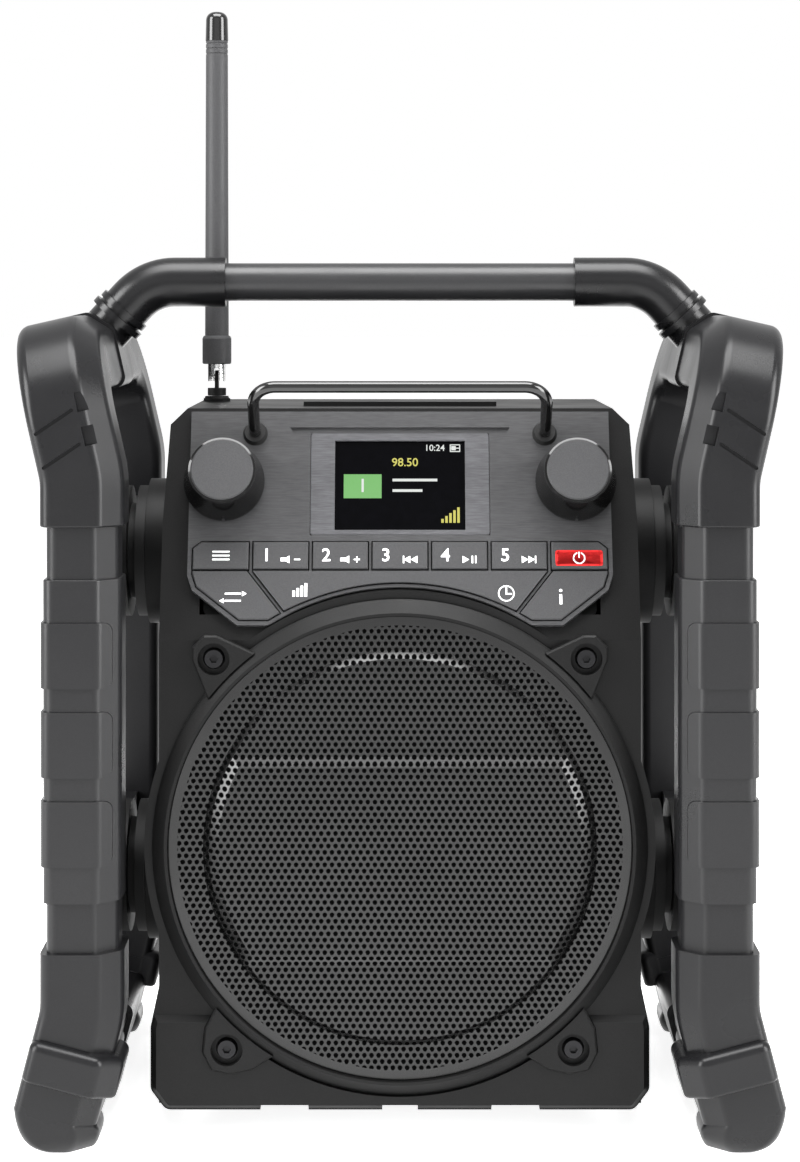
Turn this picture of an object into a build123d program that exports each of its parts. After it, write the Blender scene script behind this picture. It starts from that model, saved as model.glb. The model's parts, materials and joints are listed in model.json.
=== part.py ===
from build123d import *
import os
from math import cos, radians, sin, sqrt, tan

# Rugged jobsite radio: a sealed receiver hung on rubber dampers inside a roll cage.
# X points to the right, the front faces -Y and Z points up. Z = 0 is the ground under
# the cage's feet and the cage is centred on the origin. Lengths are in millimetres.

os.makedirs("parts", exist_ok=True)

# ---------------------------------------------------------------- driving dimensions

# Clearances
seat_gap = 0.05          # between pieces that are pressed or clamped together
slide_gap = 0.3          # between pieces that move past each other
shaft_gap = 0.05         # radial, round a shaft or pin

# Cage rails (D-shaped tube, one closed loop on each side)
rail_x = 123.5           # centre of an upright rail
rail_y = 86.0
rail_width = 27.5
rail_depth = 27.0
rail_slant = 9.0         # slanted facet on the inner corner
rail_edge = 4.5          # rounding of the rail's edges
rail_wall = 3.0
top_lean = 10.5          # how far the loop leans out at the top
top_z = 308.0
top_bend_z = 262.0
foot_lean = 10.0         # how far the loop leans out at the foot
foot_z = 16.0
foot_bend_z = 54.0
corner_radius = 26.0     # loop corners, seen from the side
lean_radius = 40.0       # where an upright starts to lean
toe_radius = 17.0

# Grip sleeves
sleeve_low = 97.4
sleeve_high = 222.7
sleeve_wall = 1.2
pad_height = 25.4
pad_pitch = 34.5
pad_proud = 0.9
pad_corner = 3.5
pad_edge = 11.8          # from the rail's centre to the pad's inner edge

# Guards over the top corners and the feet
guard_wall = 2.3
guard_low = 243.0
guard_end_y = 18.0       # the guard stops this far from the middle
groove_width = 1.4
groove_depth = 1.2
groove_length = 18.0
groove_rise = 34.0
boot_high = 78.0
bumper_high = 42.0
bumper_height = 16.0
bumper_proud = 4.8
leg_swell = 0.2          # the boot's leg is a little wider than the guard above it
sole_height = 14.0
sole_x = 129.5           # middle of the sole where it meets the ground
sole_inset = 4.4

# Cross beams and dampers
beam_z = (225.0, 92.0)
beam_height = 36.0
beam_thick = 12.0
damper_seat_x = 118.0    # where the dampers meet the cage
damper_radius = 27.5
damper_waist = 20.0
boss_x = 105.3           # where the dampers meet the body
boss_radius = 30.5

# Handle
handle_z = 338.6
handle_radius = 8.0
collar_radius = 10.4
collar_x = 73.7
arm_bend_x = 106.0
arm_bend_radius = 24.0
tube_insert = 22.0
saddle_wall = 3.2

# Body
body_width = 190.0
body_low = 14.6
body_top = 287.0
body_front = -80.0
split_y = 36.0
body_rear = 76.0
wall = 2.6
shoulder_x = 8.7         # chamfer at the top sides
shoulder_z = 6.5
base_half = 98.3
base_low = 12.0
base_high = 49.6
base_front = -83.0

# Slanted control panel
panel_tilt = 20.5
panel_foot_y = -81.0
panel_foot_z = 203.0
panel_half = 84.4
panel_length = 88.4
panel_thick = 3.0
panel_rim = 5.0          # width of the housing's ledge under the panel

# Keys
key_low = 22.6
key_high = 33.4
key_pitch = 23.7
key_web = 0.9
key_gap = 0.5
key_proud = 0.9
key_deep = 1.6
key_stem_radius = 2.0
key_travel = 1.0
row_gap = 0.8
pad_top = 35.0           # top edge of the keypad area

# Screen
screen_width = 52.3
screen_low = 38.9
screen_high = 76.2
bezel_half = 35.8
bezel_low = 36.9
bezel_high = 79.2
bezel_deep = 1.6

# Knobs
knob_x = 70.4
knob_v = 58.3
knob_base_radius = 16.2
knob_cap_radius = 12.4
knob_height = 17.5
knob_lift = 1.6
knob_travel = 0.8
spindle_radius = 3.0
bush_radius = 4.2
board_setback = 10.0     # front of the control board behind the panel's front
board_thick = 1.6

# Protective rod
rod_radius = 2.35
rod_x = 58.4
rod_v = 79.0
rod_reach = 23.0
rod_bend = 9.0
grommet_radius = 4.1

# Speaker
speaker_z = 115.7
drum_radius = 100.8
drum_wall = 2.4
speaker_hole = 84.0
ring_outer = 97.6
ring_inner = 91.4
ring_proud = 6.0
grille_radius = 90.9
grille_thick = 1.1
grille_set = 2.3         # grille rim in front of the body's front
plateau_radius = 77.4
plateau_rise = 2.6
band_low = 70.5
band_high = 152.0
band_rise = 2.6
band_slant = 7.0
lug_proud = 4.6
upper_screw = (73.2, 190.0)
lower_screw = (68.1, 36.6)
screw_radius = 4.3
recess_radius = 6.3
recess_depth = 3.4
screw_shank = 1.95
screw_boss = 12.0
screw_length = 12.0

# Loudspeaker
cone_radius = 70.0
cone_depth = 24.0
basket_depth = 42.0
magnet_radius = 42.0
magnet_thick = 18.0

# Antenna
antenna_x = -79.6
antenna_y = 30.0
antenna_top = 456.2
antenna_tilt_z = 297.5
antenna_base_radius = 5.8
stud_radius = 3.0
block_half = 3.8
fork_slot = 1.5
fork_pin_radius = 1.2
antenna_collar_radius = 6.3
antenna_collar_low = 303.2
antenna_collar_high = 315.3
antenna_radius = 5.15
antenna_tip_length = 12.6
tip_round = 3.6

# Rear
door_half = 71.0
door_low = 46.0
door_high = 156.0
door_thick = 3.0
door_lip = 4.0
hinge_pin_radius = 1.5
barrel_radius = 3.4
cell_radius = 16.6
cell_length = 61.5
tray_depth = 36.0
flap_y = -26.0
flap_z = 178.0
flap_width = 30.0
flap_height = 36.0
flap_thick = 2.4
socket_radius = 4.0

# ---------------------------------------------------------------- shared geometry

slope = radians(panel_tilt)
panel_normal = Vector(0, -cos(slope), sin(slope))
panel_face = Plane(
    origin=(0, panel_foot_y, panel_foot_z), x_dir=(1, 0, 0), z_dir=panel_normal
)


def panel_depth(z, setback):
    """Y of the slanted face at height z, the given distance behind the panel's front."""
    return panel_foot_y + (z - panel_foot_z) * tan(slope) + setback / cos(slope)


def finish(piece, name):
    """Label a piece and write its STEP file."""
    piece.part.label = name
    export_step(piece.part, f"parts/{name}.step")


def rail_outline(plane, grow):
    """Rail section grown evenly: flat outer face, slanted inner corner, round edges.

    The plane's X points to the body and its Y to the outside of the loop.
    """
    half_w = rail_width / 2 + grow
    half_d = rail_depth / 2 + grow
    with BuildSketch(plane) as outline:
        with BuildLine():
            Polyline(
                (-half_w, -half_d),
                (half_w, -half_d),
                (half_w, half_d - rail_slant),
                (half_w - rail_slant, half_d),
                (-half_w, half_d),
                close=True,
            )
        make_face()
        fillet(outline.vertices(), radius=rail_edge)
    return outline.sketch


def mirrored(shape, side, end):
    """A front left shape, turned into its mirror image for another corner."""
    if side == "right":
        shape = mirror(shape, about=Plane.YZ)
    if end == "rear":
        shape = mirror(shape, about=Plane.XZ)
    return shape


def corner_pieces(front_left, name):
    """Write the four mirror images of a front left piece."""
    for end in ("front", "rear"):
        for side in ("left", "right"):
            shape = mirrored(front_left, side, end)
            with BuildPart() as piece:
                add(shape)
            finish(piece, f"{end}_{side}_{name}")


def side_pieces(left, name):
    """Write a left piece and its mirror image."""
    for side in ("left", "right"):
        shape = mirrored(left, side, "front")
        with BuildPart() as piece:
            add(shape)
        finish(piece, f"{side}_{name}")


# ---------------------------------------------------------------- roll cage, left side

top_x = rail_x + top_lean
foot_x = rail_x + foot_lean
top_lean_angle = Vector(top_lean, 0, top_z - top_bend_z)
loop_start = Plane(
    origin=(-top_x, 0, top_z),
    x_dir=(top_lean_angle.Z, 0, top_lean_angle.X),
    z_dir=(0, -1, 0),
)


def rail_sweep(points, radii, start, grow):
    """Rail section swept along a path of straight runs with rounded corners."""
    with BuildPart() as swept:
        with BuildLine() as path:
            FilletPolyline(*points, radius=radii)
        sweep(sections=rail_outline(start, grow), path=path.line)
    return swept.part


half_loop = [
    (-top_x, 0, top_z),
    (-top_x, -rail_y, top_z),
    (-rail_x, -rail_y, top_bend_z),
    (-rail_x, -rail_y, foot_bend_z),
    (-foot_x, -rail_y, foot_z),
    (-foot_x, 0, foot_z),
]
half_loop_radii = [corner_radius, lean_radius, lean_radius, toe_radius]
front_rail = rail_sweep(half_loop, half_loop_radii, loop_start, 0)

with BuildPart() as cage_frame:
    add(front_rail)
    mirror(about=Plane.XZ)
    beam_reach = 2 * (rail_y - rail_depth / 2 + rail_wall)
    for beam in beam_z:
        with Locations((-damper_seat_x - beam_thick / 2, 0, beam)):
            Box(beam_thick, beam_reach, beam_height)
        with BuildSketch(Plane.YZ.offset(-damper_seat_x)):
            with Locations((0, beam)):
                Circle(damper_radius + 1)
        extrude(amount=-beam_thick)
side_pieces(cage_frame.part, "cage_frame")

# Grip sleeve: a tube round the rail with three raised pads
upright_section = Plane(
    origin=(-rail_x, -rail_y, sleeve_low), x_dir=(1, 0, 0), z_dir=(0, 0, -1)
)
sleeve_middle = (sleeve_low + sleeve_high) / 2

with BuildPart() as pads:
    extrude(rail_outline(upright_section, sleeve_wall + pad_proud), amount=sleeve_low - sleeve_high)
    with BuildSketch(Plane.XZ.offset(rail_y + rail_depth)):
        pad_width = pad_edge + rail_width
        with Locations((-rail_x + pad_edge - pad_width / 2, sleeve_middle - 1.2)):
            with GridLocations(0, pad_pitch, 1, 3):
                RectangleRounded(pad_width, pad_height, pad_corner)
    extrude(amount=-rail_depth * 1.25, mode=Mode.INTERSECT)

with BuildPart() as sleeve:
    extrude(rail_outline(upright_section, sleeve_wall), amount=sleeve_low - sleeve_high)
    fillet(sleeve.faces().sort_by(Axis.Z)[-1].edges(), radius=sleeve_wall / 2)
    add(pads.part)
    extrude(
        rail_outline(upright_section, seat_gap),
        amount=sleeve_low - sleeve_high,
        mode=Mode.SUBTRACT,
    )
    for beam in beam_z:
        with Locations((-damper_seat_x - beam_thick / 2, 0, beam)):
            Box(
                beam_thick + 2 * seat_gap,
                2 * rail_y,
                beam_height + 2 * seat_gap,
                mode=Mode.SUBTRACT,
            )
corner_pieces(sleeve.part, "grip_sleeve")

# Top guard: moulded rubber corner with three grooves that end in small steps
guard_start = Plane(
    origin=(-top_x, -guard_end_y, top_z), x_dir=loop_start.x_dir, z_dir=(0, -1, 0)
)
guard_path = [
    (-top_x, -guard_end_y, top_z),
    (-top_x, -rail_y, top_z),
    (-rail_x, -rail_y, top_bend_z),
    (-rail_x, -rail_y, guard_low),
]
guard_radii = [corner_radius, lean_radius]
lean_x = Vector(loop_start.x_dir.X, 0, loop_start.x_dir.Z)
guard_front_y = -(rail_y + rail_depth / 2 + guard_wall)
lean_face = Plane(
    origin=(-(rail_x + top_x) / 2, guard_front_y, (top_z + top_bend_z) / 2),
    x_dir=lean_x,
    z_dir=(0, -1, 0),
)

with BuildPart() as top_guard:
    add(rail_sweep(guard_path, guard_radii, guard_start, guard_wall))
    fillet(top_guard.faces().sort_by(Axis.Z)[0].edges(), radius=guard_wall / 3)
    for step in (-13.5, 0, 13.5):
        with BuildSketch(lean_face):
            with Locations((-5.2, step)):
                SlotOverall(groove_length, groove_width, rotation=groove_rise - 13)
        extrude(amount=-groove_depth, mode=Mode.SUBTRACT)
        with BuildSketch(lean_face):
            with Locations((8.2, step + 5.5)):
                Rectangle(7.0, 7.6)
        extrude(amount=-2.2, mode=Mode.SUBTRACT)
    add(rail_sweep(guard_path, guard_radii, guard_start, seat_gap), mode=Mode.SUBTRACT)
corner_pieces(top_guard.part, "top_guard")

# Foot guard: boot with a bumper lip and a rounded sole
foot_path = [
    (-foot_x, -guard_end_y, foot_z),
    (-foot_x, -rail_y, foot_z),
    (-rail_x, -rail_y, foot_bend_z),
    (-rail_x, -rail_y, boot_high),
]
foot_run = Vector(-foot_lean, 0, foot_z - foot_bend_z)
foot_dir = foot_run.normalized()
foot_in = Vector(-foot_dir.Z, 0, foot_dir.X)
foot_start = Plane(origin=foot_path[0], x_dir=foot_in, z_dir=(0, 1, 0))
bend_point = Vector(-rail_x, -rail_y, foot_bend_z)


def boot_plane(z):
    """Plane across the leaning boot where its centre line is at height z."""
    along = (foot_bend_z - z) / -foot_dir.Z
    return Plane(origin=bend_point + foot_dir * along, x_dir=foot_in, z_dir=foot_dir)


with BuildPart() as boot:
    leg_top = boot_plane(bumper_high - 4)
    leg_length = (bumper_high - 4 - sole_height) / -foot_dir.Z
    extrude(rail_outline(leg_top, guard_wall + leg_swell), amount=leg_length)
    ankle = rail_outline(boot_plane(sole_height), guard_wall + leg_swell)
    middle_x = (sole_x + foot_x) / 2
    instep = rail_outline(
        Plane(origin=(-middle_x, -rail_y, sole_height / 3), x_dir=(1, 0, 0), z_dir=(0, 0, -1)),
        guard_wall - sole_inset * 0.45,
    )
    sole = rail_outline(
        Plane(origin=(-sole_x, -rail_y, 0), x_dir=(1, 0, 0), z_dir=(0, 0, -1)),
        guard_wall - sole_inset * 1.4,
    )
    loft(sections=[ankle, instep, sole])

with BuildPart() as bumper:
    shift = foot_in * (bumper_proud / 2) + Vector(0, -bumper_proud / 2, 0)
    lip_plane = boot_plane(bumper_high)
    lip_plane.origin = lip_plane.origin + shift
    extrude(rail_outline(lip_plane, guard_wall + bumper_proud / 2), amount=bumper_height)
    fillet(bumper.faces().sort_by(Axis.Z)[-1].edges(), radius=3.6)
    fillet(bumper.faces().sort_by(Axis.Z)[0].edges(), radius=1.6)

with BuildPart() as foot_guard:
    add(rail_sweep(foot_path, [toe_radius, lean_radius], foot_start, guard_wall))
    add(boot.part)
    add(bumper.part)
    add(rail_sweep(foot_path, [toe_radius, lean_radius], foot_start, seat_gap), mode=Mode.SUBTRACT)
    with Locations((-damper_seat_x - beam_thick / 2, 0, beam_z[1])):
        Box(
            beam_thick + 2 * seat_gap,
            2 * rail_y,
            beam_height + 2 * seat_gap,
            mode=Mode.SUBTRACT,
        )
corner_pieces(foot_guard.part, "foot_guard")

# ---------------------------------------------------------------- handle

arm_bend = Vector(-arm_bend_x, 0, handle_z)
arm_root = Vector(-top_x, 0, top_z)
arm_dir = (arm_root - arm_bend).normalized()
saddle_half = guard_end_y - slide_gap
saddle_plane = Plane(
    origin=(-top_x, saddle_half, top_z), x_dir=loop_start.x_dir, z_dir=(0, -1, 0)
)


def arm_plane(reach):
    """Plane across the arm, the given distance from the loop's centre line."""
    return Plane(origin=arm_root - arm_dir * reach, z_dir=arm_dir)


with BuildPart() as arm:
    with BuildLine() as arm_path:
        FilletPolyline((-collar_x, 0, handle_z), arm_bend, arm_root, radius=arm_bend_radius)
    with BuildSketch(Plane(origin=(-collar_x, 0, handle_z), z_dir=(-1, 0, 0))):
        Circle(collar_radius)
    sweep(path=arm_path.line)
    extrude(rail_outline(saddle_plane, saddle_wall), amount=2 * saddle_half)
    for reach, grow in ((22.5, 1.9), (26.5, 1.2)):
        with BuildSketch(arm_plane(reach)):
            Circle(collar_radius + grow)
        extrude(amount=2.6)
    extrude(rail_outline(saddle_plane, seat_gap), amount=2 * saddle_half, mode=Mode.SUBTRACT)
    with BuildSketch(Plane.YZ.offset(-collar_x)):
        with Locations((0, handle_z)):
            Circle(handle_radius + seat_gap)
    extrude(amount=-tube_insert, mode=Mode.SUBTRACT)
side_pieces(arm.part, "handle_arm")

with BuildPart() as handle_tube:
    with BuildSketch(Plane.YZ) as tube_section:
        with Locations((0, handle_z)):
            Circle(handle_radius)
            Circle(handle_radius - 1.5, mode=Mode.SUBTRACT)
    extrude(amount=collar_x + tube_insert - seat_gap, both=True)
finish(handle_tube, "handle_tube")

# ---------------------------------------------------------------- rubber dampers

damper_length = damper_seat_x - boss_x
ridge_width = 4.2
with BuildPart() as damper_pair:
    for beam in beam_z:
        with BuildSketch(Plane.XZ) as bellows:
            with Locations((-boss_x - damper_length / 2, beam + damper_waist / 2)):
                Rectangle(damper_length, damper_waist)
            for ridge_x in (boss_x + ridge_width * 0.6, damper_seat_x - ridge_width * 0.6):
                with Locations((-ridge_x, beam + damper_radius / 2)):
                    Rectangle(ridge_width, damper_radius)
            tips = bellows.vertices().filter_by_position(
                Axis.Z, beam + damper_radius - 0.1, beam + damper_radius + 0.1
            )
            fillet(tips, radius=ridge_width * 0.45)
        revolve(axis=Axis((0, 0, beam), (1, 0, 0)))
right_dampers = mirror(damper_pair.part, about=Plane.YZ)
with BuildPart() as dampers:
    add(damper_pair.part)
    add(right_dampers)
finish(dampers, "rubber_dampers")

# ---------------------------------------------------------------- body housings

knee_z = panel_foot_z + (body_front - panel_depth(panel_foot_z, panel_thick)) / tan(slope)
half_body = body_width / 2


def body_block(inset):
    """The body's closed outer form, or its inner form at a wall's thickness."""
    with BuildPart() as block:
        with BuildSketch(Plane.YZ) as side:
            with BuildLine():
                Polyline(
                    (body_front, body_low),
                    (body_front, knee_z),
                    (panel_depth(body_top, panel_thick), body_top),
                    (body_rear - 20, body_top),
                    (body_rear - 6, body_top - 25),
                    (body_rear, body_top - 52),
                    (body_rear, body_low),
                    close=True,
                )
            make_face()
            offset(amount=-inset)
        extrude(amount=half_body + 10, both=True)
        with BuildSketch(Plane.XZ) as front:
            with BuildLine():
                Polyline(
                    (-half_body, body_low),
                    (-half_body, body_top - 45),
                    (-half_body + 2, body_top - shoulder_z),
                    (-half_body + shoulder_x, body_top),
                    (half_body - shoulder_x, body_top),
                    (half_body - 2, body_top - shoulder_z),
                    (half_body, body_top - 45),
                    (half_body, body_low),
                    close=True,
                )
            make_face()
            offset(amount=-inset)
        extrude(amount=150, both=True, mode=Mode.INTERSECT)
    return block.part


body_outer = body_block(0)
body_inner = body_block(wall)
split_plane = Plane.XZ.offset(-split_y)
window_half = panel_half - panel_rim


def base_outline(high):
    """Front outline of the base: sloped flanks down to rounded bottom corners."""
    with BuildSketch(Plane.XZ) as outline:
        with BuildLine():
            Polyline(
                (-half_body + 1, base_high + 16),
                (-base_half, base_high - 5),
                (-base_half, base_low + 8),
                (-base_half + 6, base_low),
                (base_half - 6, base_low),
                (base_half, base_low + 8),
                (base_half, base_high - 5),
                (half_body - 1, base_high + 16),
                close=True,
            )
        make_face()
        fillet(outline.vertices().sort_by(Axis.Y)[:4], radius=4)
        with Locations((0, high)):
            Rectangle(300, 60, align=(Align.CENTER, Align.MIN), mode=Mode.SUBTRACT)
    return outline.sketch


upper_lug = [(-8.5, 4.6), (-3.8, 9.3), (1.2, 9.3), (17.8, 1.5), (-1.5, -17.8), (-8.5, -0.5)]
lower_lug = [(-3, 18.5), (19.8, -1.5), (10.1, -7.6), (1.7, -9.6), (-6, -8), (-9.5, -1), (-8.5, 8.3)]


def lug_sketch(grow):
    """The two left lugs of the speaker frame, each set out from its own screw."""
    with BuildSketch(Plane.XZ.offset(-body_front)) as lugs:
        for screw, lug in ((upper_screw, upper_lug), (lower_screw, lower_lug)):
            with BuildLine():
                Polyline(*[(x - screw[0], z + screw[1]) for x, z in lug], close=True)
            make_face()
        if grow:
            offset(amount=grow)
    return lugs.sketch


lug_pocket = lug_sketch(slide_gap)
right_pocket = mirror(lug_pocket, about=Plane.YZ)
base_skirt = base_outline(base_high + 16)
base_block = base_outline(base_high)

with BuildPart() as front_housing:
    add(body_outer)
    extrude(base_skirt, amount=-body_front, dir=(0, -1, 0))
    extrude(base_skirt, amount=split_y, dir=(0, 1, 0))
    with Locations((0, -8, body_top)):
        Box(80, 30, 3.6)
    for side in (-1, 1):
        for beam in beam_z:
            with BuildSketch(Plane.YZ.offset(side * (half_body - 8))):
                with Locations((0, beam)):
                    Circle(boss_radius)
            extrude(amount=side * (boss_x - half_body + 8))
    add(body_inner, mode=Mode.SUBTRACT)
    with BuildSketch(panel_face.offset(-panel_thick + 1)):
        with Locations((0, panel_rim)):
            Rectangle(
                2 * window_half,
                panel_length - 2 * panel_rim,
                align=(Align.CENTER, Align.MIN),
            )
    extrude(amount=-wall - 3, mode=Mode.SUBTRACT)
    # Front block of the base, tapered to its face
    plinth = base_block.moved(Location((0, body_front + 0.5, 0)))
    extrude(plinth, amount=body_front - base_front + 0.5, dir=(0, -1, 0), taper=35)
    # Round drum that holds the loudspeaker and bulges past the sides
    with BuildSketch(Plane.XZ.offset(-body_front + 1)):
        with Locations((0, speaker_z)):
            Circle(drum_radius - 1)
    extrude(amount=-31, mode=Mode.SUBTRACT)
    with BuildSketch(Plane.XY.offset(speaker_z)):
        with BuildLine():
            Polyline(
                (speaker_hole, body_front),
                (drum_radius, body_front),
                (drum_radius, body_front + 30),
                (drum_radius - 9, body_front + 42),
                (drum_radius - 11, body_front + 40.5),
                (drum_radius - drum_wall, body_front + 29),
                (drum_radius - drum_wall, body_front + wall),
                (speaker_hole, body_front + wall),
                close=True,
            )
        make_face()
    revolve(axis=Axis((0, 0, speaker_z), (0, 1, 0)))
    with BuildSketch(Plane.XZ.offset(-body_front - wall)):
        with Locations((0, speaker_z)):
            Circle(speaker_hole)
    extrude(amount=wall + 5, mode=Mode.SUBTRACT)
    with BuildSketch(Plane.XZ.offset(-body_front)):
        with Locations((0, speaker_z)):
            Circle(ring_outer + slide_gap)
    extrude(amount=10, mode=Mode.SUBTRACT)
    extrude(lug_pocket, amount=10, dir=(0, -1, 0), mode=Mode.SUBTRACT)
    extrude(right_pocket, amount=10, dir=(0, -1, 0), mode=Mode.SUBTRACT)
    # Gaps between the base's foot blocks
    for gap_x, gap_width in ((-45.5, 19.0), (0, 14.0), (45.5, 19.0)):
        with Locations((gap_x, 0, base_low)):
            Box(gap_width, 200, 2 * (body_low - base_low), mode=Mode.SUBTRACT)
    # Bosses and holes for the speaker frame's four screws
    screw_places = [
        (side * x, z) for x, z in (upper_screw, lower_screw) for side in (-1, 1)
    ]
    with BuildSketch(Plane.XZ.offset(-body_front - 0.5)):
        with Locations(*screw_places):
            Circle(screw_radius + 1)
    extrude(amount=-screw_boss)
    with BuildSketch(Plane.XZ.offset(-body_front + 5)):
        with Locations(*screw_places):
            Circle(screw_shank + seat_gap)
    extrude(amount=-screw_boss - 4, mode=Mode.SUBTRACT)
    # Hole for the antenna's stud
    with BuildSketch(Plane.XY.offset(body_top + 1)):
        with Locations((antenna_x, antenna_y)):
            Circle(stud_radius + seat_gap)
    extrude(amount=-wall - 3, mode=Mode.SUBTRACT)
    # Socket recess in the right side, behind the rubber flap
    with BuildSketch(Plane.YZ.offset(half_body + 1)):
        with GridLocations(0, 17, 1, 2):
            with Locations((flap_y, flap_z)):
                Circle(socket_radius)
    extrude(amount=-wall - 3, mode=Mode.SUBTRACT)
    split(bisect_by=split_plane, keep=Keep.TOP)
finish(front_housing, "front_housing")

# Rear housing: shell with an open battery tray and ears for the door's hinge
tray_half = door_half - door_lip
tray_low = door_low + door_lip
tray_high = door_high - door_lip
hinge_y = body_rear + barrel_radius + 0.6
hinge_z = door_low - 3.5
ear_in = 40.4
ear_out = 46.0

with BuildPart() as rear_housing:
    add(body_outer)
    add(body_inner, mode=Mode.SUBTRACT)
    split(bisect_by=Plane.XZ.offset(-split_y - seat_gap), keep=Keep.BOTTOM)
    tray_middle = (tray_low + tray_high) / 2
    with Locations((0, body_rear - tray_depth / 2, tray_middle)):
        Box(2 * tray_half + 2 * wall, tray_depth, tray_high - tray_low + 2 * wall)
        Box(2 * tray_half, tray_depth, tray_high - tray_low, mode=Mode.SUBTRACT)
    with Locations((0, body_rear - tray_depth - wall / 2, tray_middle)):
        Box(2 * tray_half + 2 * wall, wall, tray_high - tray_low + 2 * wall)
    for side in (-1, 1):
        with BuildSketch(Plane.YZ.offset(side * ear_in)):
            with Locations((hinge_y, hinge_z)):
                Circle(barrel_radius)
            with Locations(((hinge_y + body_rear) / 2, hinge_z)):
                Rectangle(hinge_y - body_rear + 0.4, 2 * barrel_radius)
            with Locations((hinge_y, hinge_z)):
                Circle(hinge_pin_radius + shaft_gap, mode=Mode.SUBTRACT)
        extrude(amount=side * (ear_out - ear_in))
finish(rear_housing, "rear_housing")

with BuildPart() as battery_door:
    with BuildSketch(Plane.XZ.offset(-body_rear - slide_gap)):
        with Locations((0, (door_low + door_high) / 2)):
            RectangleRounded(2 * door_half, door_high - door_low, 5)
        with Locations((0, hinge_z + 4)):
            Rectangle(2 * ear_in - 2 * slide_gap, 8)
    extrude(amount=-door_thick)
    with BuildSketch(Plane.YZ):
        with Locations((hinge_y, hinge_z)):
            Circle(barrel_radius)
    extrude(amount=ear_in - slide_gap, both=True)
    for rib in range(-3, 4):
        with Locations((0, body_rear + slide_gap + door_thick, door_high - 16 + rib * 2.4)):
            Box(30, 1.2, 1.0)
    with BuildSketch(Plane.YZ):
        with Locations((hinge_y, hinge_z)):
            Circle(hinge_pin_radius + shaft_gap)
    extrude(amount=ear_in, both=True, mode=Mode.SUBTRACT)
    fillet(battery_door.edges().filter_by(GeomType.CIRCLE).filter_by(
        lambda edge: edge.radius > 4.9).sort_by(Axis.Y)[-4:], radius=0.8)
finish(battery_door, "battery_door")

with BuildPart() as hinge_pin:
    with BuildSketch(Plane.YZ):
        with Locations((hinge_y, hinge_z)):
            Circle(hinge_pin_radius)
    extrude(amount=ear_out, both=True)
finish(hinge_pin, "door_hinge_pin")

with BuildPart() as cells:
    cell_y = body_rear - tray_depth + cell_radius + slide_gap
    cell_pitch = 2 * cell_radius + 0.2
    for side in (-1, 1):
        for row in (-1, 0, 1):
            cell_z = tray_low + cell_radius + seat_gap + (row + 1) * cell_pitch
            with BuildSketch(Plane.YZ.offset(side * 0.3)):
                with Locations((cell_y, cell_z)):
                    Circle(cell_radius)
            extrude(amount=side * (cell_length - 2))
            with BuildSketch(Plane.YZ.offset(side * (cell_length - 1.7))):
                with Locations((cell_y, cell_z)):
                    Circle(5)
            extrude(amount=side * 1.7)
finish(cells, "battery_cells")

# ---------------------------------------------------------------- control panel

web_x = [side * (index + 0.5) * key_pitch for side in (-1, 1) for index in range(3)]
lower_top = key_low - row_gap
diagonal = (0.5 + 2) * key_pitch + 0.3
diagonal_run = 0.78


def panel_outline(inset):
    """Outline of the panel in its own plane, moved in evenly."""
    with BuildSketch(panel_face) as outline:
        with BuildLine():
            Polyline(
                (-panel_half, panel_length),
                (-panel_half, 20.3),
                (-panel_half + 2, 14.2),
                (-64.2, 0),
                (64.2, 0),
                (panel_half - 2, 14.2),
                (panel_half, 20.3),
                (panel_half, panel_length),
                close=True,
            )
        make_face()
        if inset:
            offset(amount=-inset)
    return outline.sketch


def pad_outline(inset):
    """Outline of the keypad area: the panel's lower part with slanted top corners."""
    with BuildSketch(panel_face) as area:
        with BuildLine():
            Polyline(
                (-panel_half, pad_top - 4),
                (-panel_half + 5, pad_top),
                (panel_half - 5, pad_top),
                (panel_half, pad_top - 4),
                (panel_half, -5),
                (-panel_half, -5),
                close=True,
            )
        make_face()
        if inset:
            offset(amount=-inset)
    return area.sketch


def drum_clear(radius):
    """Round bar through the panel, on the speaker's axis."""
    with BuildPart() as bar:
        with Locations((0, body_front, speaker_z)):
            Cylinder(radius, 120, rotation=(90, 0, 0))
    return bar.part


def web_sketch(width):
    """Bars between the keys: six upright and two slanted."""
    with BuildSketch(panel_face) as webs:
        with Locations(*[(x, (lower_top + pad_top) / 2) for x in web_x]):
            Rectangle(width, pad_top - lower_top)
        for side in (-1, 1):
            with BuildLine():
                foot = side * (diagonal - diagonal_run * lower_top)
                head = side * diagonal
                half = width / 2 * sqrt(1 + diagonal_run**2)
                Polyline(
                    (head - half, lower_top),
                    (head + half, lower_top),
                    (foot + half, 0),
                    (foot - half, 0),
                    close=True,
                )
            make_face()
    return webs.sketch


pad_rim = 1.6
drum_rim = drum_radius + 0.5
panel_bar = drum_clear(drum_rim)
pad_bar = drum_clear(drum_rim + pad_rim)
key_bar = drum_clear(drum_rim + pad_rim + key_gap)

with BuildPart() as pad_space:
    extrude(panel_outline(pad_rim), amount=panel_thick + 5, both=True)
    extrude(pad_outline(pad_rim / 2), amount=panel_thick + 4, both=True, mode=Mode.INTERSECT)
    add(pad_bar, mode=Mode.SUBTRACT)
    extrude(web_sketch(key_web), amount=panel_thick + 5, both=True, mode=Mode.SUBTRACT)

screen_middle = (screen_low + screen_high) / 2
bezel_middle = (bezel_low + bezel_high) / 2
knob_places = [(side * knob_x, knob_v) for side in (-1, 1)]
rod_places = [(side * rod_x, rod_v) for side in (-1, 1)]

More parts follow.
